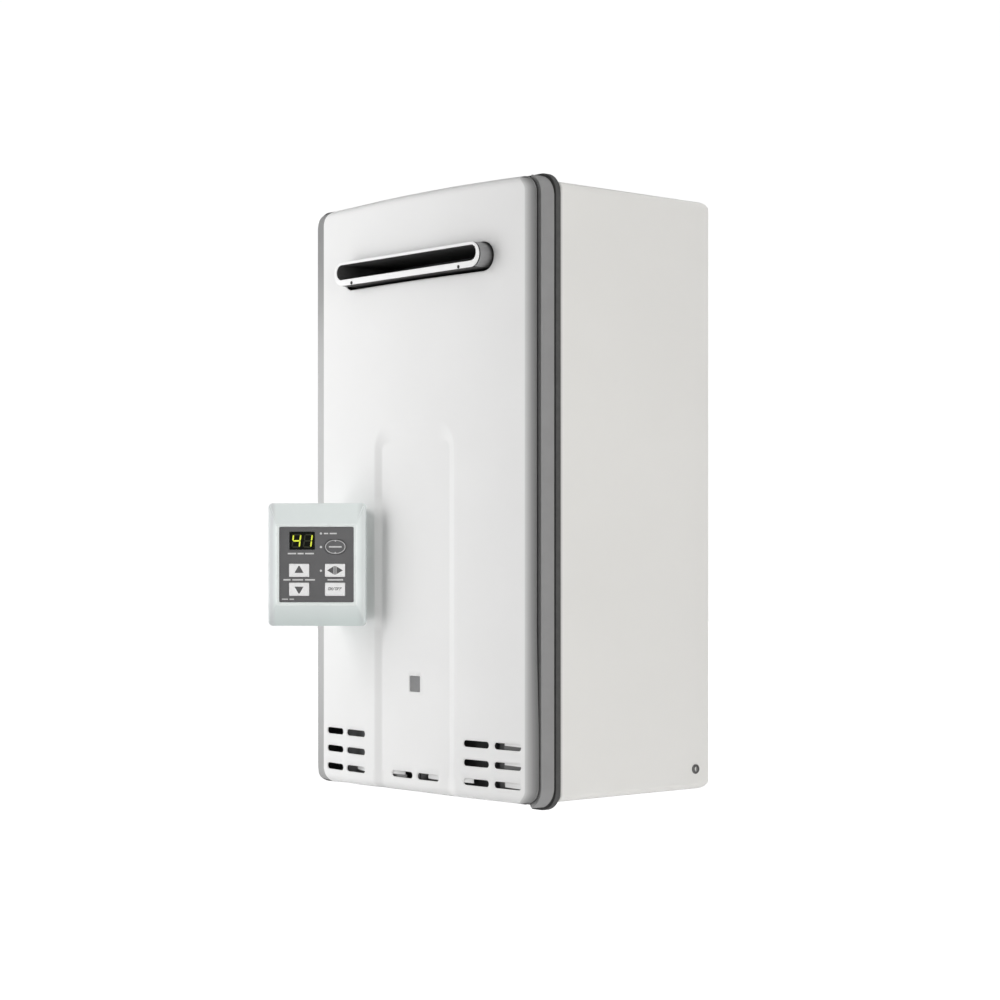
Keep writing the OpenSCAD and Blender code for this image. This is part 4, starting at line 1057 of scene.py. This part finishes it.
YP = 0.7
mark("panel_print", "cover", bars(-29.5, -2.5, 11.2, 1.5, [3.0, 2.2, 3.2]) + bars(-34.0, -1.5, -15.6, 1.5, [2.0, 3.0, 2.8]) + bars(11.5, 27.5, -15.6, 1.5, [4.0])
     + bars(7.8, 21.0, 31.7, 1.4, [1.5, 2.5]) + bars(-35.5, -23.0, -35.4, 1.0, [2.0, 1.5]), YP, print_white)
leds = []
for v in (31.7, 17.9, -6.3):
    leds.append([(4.7 + 1.15 * math.cos(2 * math.pi * i / 20), v + 1.15 * math.sin(2 * math.pi * i / 20)) for i in range(20)])
mark("panel_lamps", "cover", leds, YP, print_white, 0.25)

# Oval key: a thin light ring with a blank line in it
OV = (19.6, 18.1)
b = Build(ctl)


def oval(a, c, y, n=56):
    return b.loop([(OV[0] + a * math.cos(2 * math.pi * i / n), y, OV[1] + c * math.sin(2 * math.pi * i / n)) for i in range(n)])


q = [oval(10.3, 7.0, -0.1), oval(10.3, 7.0, -0.22), oval(9.75, 6.45, -0.22), oval(9.75, 6.45, -0.1)]
for i in range(4):
    b.bridge(q[i], q[(i + 1) % 4])
b.done("oval_ring", "priority_key", [print_white], smooth=False)
mark("oval_print", "priority_key", bars(OV[0] - 6.6, OV[0] + 6.6, OV[1], 1.5, [6.0]), -0.1, print_white)
mark("oval_ticks", "priority_key", [[(OV[0] - 1.2, OV[1] + 6.2), (OV[0] + 1.2, OV[1] + 6.2), (OV[0], OV[1] + 5.2)], [(OV[0] - 1.2, OV[1] - 6.2), (OV[0], OV[1] - 5.2), (OV[0] + 1.2, OV[1] - 6.2)]], -0.1, print_white)

# Power key: plain ON/OFF in thin strokes, slanted a little
GLYPH = {"O": [[(0, 0), (1, 0), (1, 2), (0, 2), (0, 0)]], "N": [[(0, 0), (0, 2), (1, 0), (1, 2)]], "F": [[(0, 0), (0, 2), (1, 2)], [(0, 1.1), (0.8, 1.1)]], "/": [[(0, -0.2), (0.8, 2.2)]]}


def strokes(word, u0, v0, w, h, pitch, t):
    out = []
    for k, ch in enumerate(word):
        for line in GLYPH[ch]:
            for (a0, b0), (a1, b1) in zip(line, line[1:]):
                p0 = Vector((u0 + k * pitch + a0 * w + 0.22 * b0 * h / 2, v0 + b0 * h / 2))
                p1 = Vector((u0 + k * pitch + a1 * w + 0.22 * b1 * h / 2, v0 + b1 * h / 2))
                dr = (p1 - p0).normalized()
                nn = Vector((-dr.y, dr.x)) * t / 2
                p0, p1 = p0 - dr * t / 2, p1 + dr * t / 2
                out.append([tuple(p0 + nn), tuple(p0 - nn), tuple(p1 - nn), tuple(p1 + nn)])
    return out


mark("power_print", "power_key", strokes("ON/OFF", K4[0] - 6.9, K4[1] - 0.7, 1.45, 2.5, 2.35, 0.5), YK, print_grey)

# Display: two slanted seven-segment digits, lit and unlit
DISP = (-14.7, 24.4)


def seg_shapes(cx, cz, w, h, t, on):
    slant = 0.13

    def sk(pts_):
        return [(cx + u + slant * v, cz + v) for u, v in pts_]

    hw_, hh_ = w / 2, h / 2
    g = t * 0.14
    horiz = lambda v: sk([(-hw_ + g, v), (-hw_ + t / 2 + g, v + t / 2), (hw_ - t / 2 - g, v + t / 2), (hw_ - g, v), (hw_ - t / 2 - g, v - t / 2), (-hw_ + t / 2 + g, v - t / 2)])
    vert = lambda u, a, c: sk([(u, a + g), (u + t / 2, a + t / 2 + g), (u + t / 2, c - t / 2 - g), (u, c - g), (u - t / 2, c - t / 2 - g), (u - t / 2, a + t / 2 + g)])
    segs = {"a": horiz(hh_), "g": horiz(0.0), "d": horiz(-hh_), "f": vert(-hw_, 0, hh_), "b": vert(hw_, 0, hh_), "e": vert(-hw_, -hh_, 0), "c": vert(hw_, -hh_, 0)}
    return [s for k, s in segs.items() if k in on], [s for k, s in segs.items() if k not in on]


lit, dim = [], []
for cx, on in ((DISP[0] - 5.9, "fgbc"), (DISP[0] + 5.9, "bc")):
    l, d_ = seg_shapes(cx, DISP[1] - 0.2, 7.4, 12.6, 1.4, on)
    lit += l
    dim += d_
mark("display_lit", "cover", lit, 0.9, seg_on, 0.05)
mark("display_dim", "cover", dim, 0.9, seg_off, 0.03)

# ------------------------------------------------------------------ inner parts
INNER = {
    "exhaust_hood": (galv, 0.6, "galvanised"), "heat_exchanger_core": (copper_hot, 0.0, "copper"), "heat_exchanger_housing": (copper_hot, 0.5, "copper"),
    "return_bends": (copper, 0.3, "copper"), "combustion_chamber": (copper_hot, 0.5, "copper"), "burner_box": (galv, 0.5, "galvanised"),
    "burner_bars": (steel, 0.4, "stainless"), "gas_manifold": (cast, 1.2, "cast_alloy"), "gas_nozzles": (brass, 0.2, "brass"),
    "fan_housing": (galv, 1.0, "galvanised"), "fan_motor": (black_plastic, 1.5, "black_plastic"), "gas_valve_body": (cast, 1.5, "cast_alloy"),
    "solenoid_coils": (black_plastic, 0.8, "black_plastic"), "gas_riser_pipe": (galv, 0.4, "galvanised"), "gas_inlet_fitting": (brass, 0.5, "brass"),
    "cold_inlet_fitting": (brass, 0.5, "brass"), "water_valve_body": (brass, 0.4, "brass"), "flow_servo_motor": (ivory, 1.2, "pale_plastic"),
    "service_plugs": (black_plastic, 0.6, "black_plastic"), "cold_pipe": (copper, 0.0, "copper"), "hot_pipe": (copper, 0.0, "copper"),
    "hot_outlet_fitting": (brass, 0.5, "brass"), "electrodes": (ceramic, 0.3, "white_ceramic"), "spark_unit": (black_plastic, 1.2, "black_plastic"),
    "ignition_lead": (lead_red, 0.0, "lead_red"), "temperature_sensors": (brass, 0.4, "brass"), "frost_heaters": (ceramic, 0.8, "white_ceramic"),
    "control_box": (ivory, 0.8, "pale_plastic"), "circuit_board": (board, 0.3, "board_green"), "wiring_harness": (lead_black, 0.0, "lead_black"),
    "cable_gland": (black_plastic, 0.6, "black_plastic"), "fan_impeller": (galv, 0.2, "galvanised"), "flow_turbine": (key_white, 0.15, "key_plastic"),
    "servo_spindle": (steel, 0.2, "stainless"), "gas_valve_plunger": (steel, 0.3, "stainless"),
}
for n, (m, w, s) in INNER.items():
    refine(n, m, w, 2, slot=s)

# Board parts: a housing over each raised block, capacitors, small chips and resistors
sleeve_blue = Mat("sleeve_blue", (0.03, 0.09, 0.26, 1), 0.4, var=0.08, var_scale=150.0, grain=1500.0, relief=0.08, relief_mm=0.03)
BOARD_Y = -201.0


def peg(b, loops, k):
    seq = [b.loop(xzy(pts, y)) for pts, y in loops]
    for p, q in zip(seq, seq[1:]):
        b.bridge(p, q, k)
    b.cap(seq[0], k)
    b.cap(seq[-1], k)


def block(b, x, z, w, h, t, k, r=0.8):
    peg(b, [(rrect(w, h, r, 3, x, z), BOARD_Y - 0.02), (rrect(w, h, r, 3, x, z), BOARD_Y - t + 0.4),
            (offset_rr(w, h, r, min(0.5, r * 0.6), 3, x, z), BOARD_Y - t)], k)


def ring(x, z, r, n=28):
    return [(x + r * math.cos(2 * math.pi * i / n), z + r * math.sin(2 * math.pi * i / n)) for i in range(n)]


bd = Build()
for x, z, w, h, t, k in ((-40, -120, 26, 22, 10, 4), (0, -124, 18, 16, 8, 0), (40, -118, 30, 14, 9, 2), (72, -130, 20, 34, 11, 3),
                         (-34, -180, 30, 40, 7, 0), (20, -190, 36, 20, 6, 1), (66, -200, 26, 18, 9, 4)):
    block(bd, x, z, w + 0.7, h + 0.7, t + 0.35, k)
for i in range(6):
    block(bd, 72, -144.5 + 5.8 * i, 18.6, 2.2, 12.4, 3, 0.4)
for i in range(7):
    block(bd, 27 + 4.4 * i, -118, 2.6, 8.0, 9.9, 0, 0.3)
for i in range(8):
    block(bd, 5.3 + 4.2 * i, -190, 2.4, 9.0, 6.9, 0, 0.3)
for x, z, r, h, k in ((-6, -150, 5.0, 11.5, 0), (9, -151, 5.0, 11.5, 0), (27, -149, 4.0, 10.0, 4), (45, -150, 6.0, 12.0, 0), (-8, -214, 4.0, 9.0, 4), (84, -166, 4.0, 9.5, 0)):
    peg(bd, [(ring(x, z, r), BOARD_Y - 0.02), (ring(x, z, r), BOARD_Y - h + 0.7), (ring(x, z, r - 0.6), BOARD_Y - h)], k)
    peg(bd, [(ring(x, z, r - 1.1), BOARD_Y - h + 0.2), (ring(x, z, r - 1.1), BOARD_Y - h - 0.12)], 5)
for x, z, w, h in ((-6, -172, 9, 6), (-4, -186, 7, 5), (50, -172, 9, 7), (46, -186, 6, 8), (-46, -148, 10, 7), (-28, -150, 7, 5), (12, -168, 8, 6)):
    block(bd, x, z, w, h, 1.7, 0, 0.3)
    for i in range(4):
        for s in (-1, 1):
            block(bd, x - w * 0.36 + w * 0.24 * i, z + s * (h / 2 + 0.7), 0.7, 1.4, 0.6, 5, 0.1)
for i in range(22):
    block(bd, -50 + 6.1 * i + 1.5 * math.sin(2.1 * i), -219 + 2.4 * math.sin(1.7 * i), 3.2, 1.6, 0.9, (0, 1, 5)[i % 3], 0.2)
for i in range(9):
    block(bd, -20 + 7.3 * i, -161.5 + 1.6 * math.sin(2.3 * i), 1.6, 3.0, 0.9, (1, 0)[i % 2], 0.2)
bd.done("board_parts", "heater", [black_plastic, ivory, key_white, cast, sleeve_blue, galv], angle=40.0)

# ------------------------------------------------------------------ stage and light
me = bpy.data.meshes.new("floor")
me.from_pydata([(-14, -14, -0.72), (14, -14, -0.72), (14, 14, -0.72), (-14, 14, -0.72)], [], [(0, 1, 2, 3)])
floor = bpy.data.objects.new("floor", me)
SC.collection.objects.link(floor)
fm = bpy.data.materials.new("floor_pale")
fm.use_nodes = True
fb = fm.node_tree.nodes["Principled BSDF"]
fb.inputs["Base Color"].default_value = (0.82, 0.82, 0.82, 1)
fb.inputs["Roughness"].default_value = 0.9
fb.inputs["Emission Color"].default_value = (1, 1, 1, 1)
flp = fm.node_tree.nodes.new("ShaderNodeLightPath")
fm.node_tree.links.new(flp.outputs["Is Camera Ray"], fb.inputs["Emission Strength"])
geo = fm.node_tree.nodes.new("ShaderNodeNewGeometry")
tr = fm.node_tree.nodes.new("ShaderNodeBsdfTransparent")
mixs = fm.node_tree.nodes.new("ShaderNodeMixShader")
fm.node_tree.links.new(geo.outputs["Backfacing"], mixs.inputs["Fac"])
fm.node_tree.links.new(fb.outputs["BSDF"], mixs.inputs[1])
fm.node_tree.links.new(tr.outputs["BSDF"], mixs.inputs[2])
fm.node_tree.links.new(mixs.outputs["Shader"], fm.node_tree.nodes["Material Output"].inputs["Surface"])
me.materials.append(fm)

world = bpy.data.worlds.new("studio")
SC.world = world
world.use_nodes = True
wn = world.node_tree
bg = wn.nodes["Background"]
bg.inputs["Color"].default_value = (1, 1, 1, 1)
bg.inputs["Strength"].default_value = 0.137
bg2 = wn.nodes.new("ShaderNodeBackground")
bg2.inputs["Color"].default_value = (1, 1, 1, 1)
bg2.inputs["Strength"].default_value = 1.02
lp = wn.nodes.new("ShaderNodeLightPath")
wm = wn.nodes.new("ShaderNodeMixShader")
wn.links.new(lp.outputs["Is Camera Ray"], wm.inputs["Fac"])
wn.links.new(bg.outputs["Background"], wm.inputs[1])
wn.links.new(bg2.outputs["Background"], wm.inputs[2])
wn.links.new(wm.outputs["Shader"], wn.nodes["World Output"].inputs["Surface"])


def area(name, loc, target, size, power, color=(1, 1, 1), size_y=None):
    ld = bpy.data.lights.new(name, "AREA")
    ld.shape = "RECTANGLE"
    ld.size = size
    ld.size_y = size_y or size
    ld.energy = power
    ld.color = color
    lo_ = bpy.data.objects.new(name, ld)
    SC.collection.objects.link(lo_)
    lo_.location = loc
    lo_.rotation_mode = "QUATERNION"
    lo_.rotation_quaternion = (Vector(target) - Vector(loc)).to_track_quat("-Z", "Y")
    return lo_


area("key_left", (-0.74, -0.98, 0.10), (-0.14, -0.25, 0.0), 0.7, 10.6, size_y=1.4)
area("fill_right", (2.3, -0.7, 0.32), (0.1, -0.15, 0.0), 1.5, 31.0, (1.0, 0.99, 0.975))
area("top", (0.0, -0.6, 2.2), (0.0, -0.2, 0.0), 2.2, 10.0)
area("bounce", (0.30, -0.13, -0.69), (0.30, -0.129, 0.0), 0.5, 0.27)
area("back", (0.05, 1.9, 1.1), (0.0, 0.0, 0.05), 1.6, 26.0)

SC.view_settings.view_transform = "Standard"
SC.view_settings.look = "None"
SC.view_settings.exposure = 0.0
SC.view_settings.gamma = 1.0
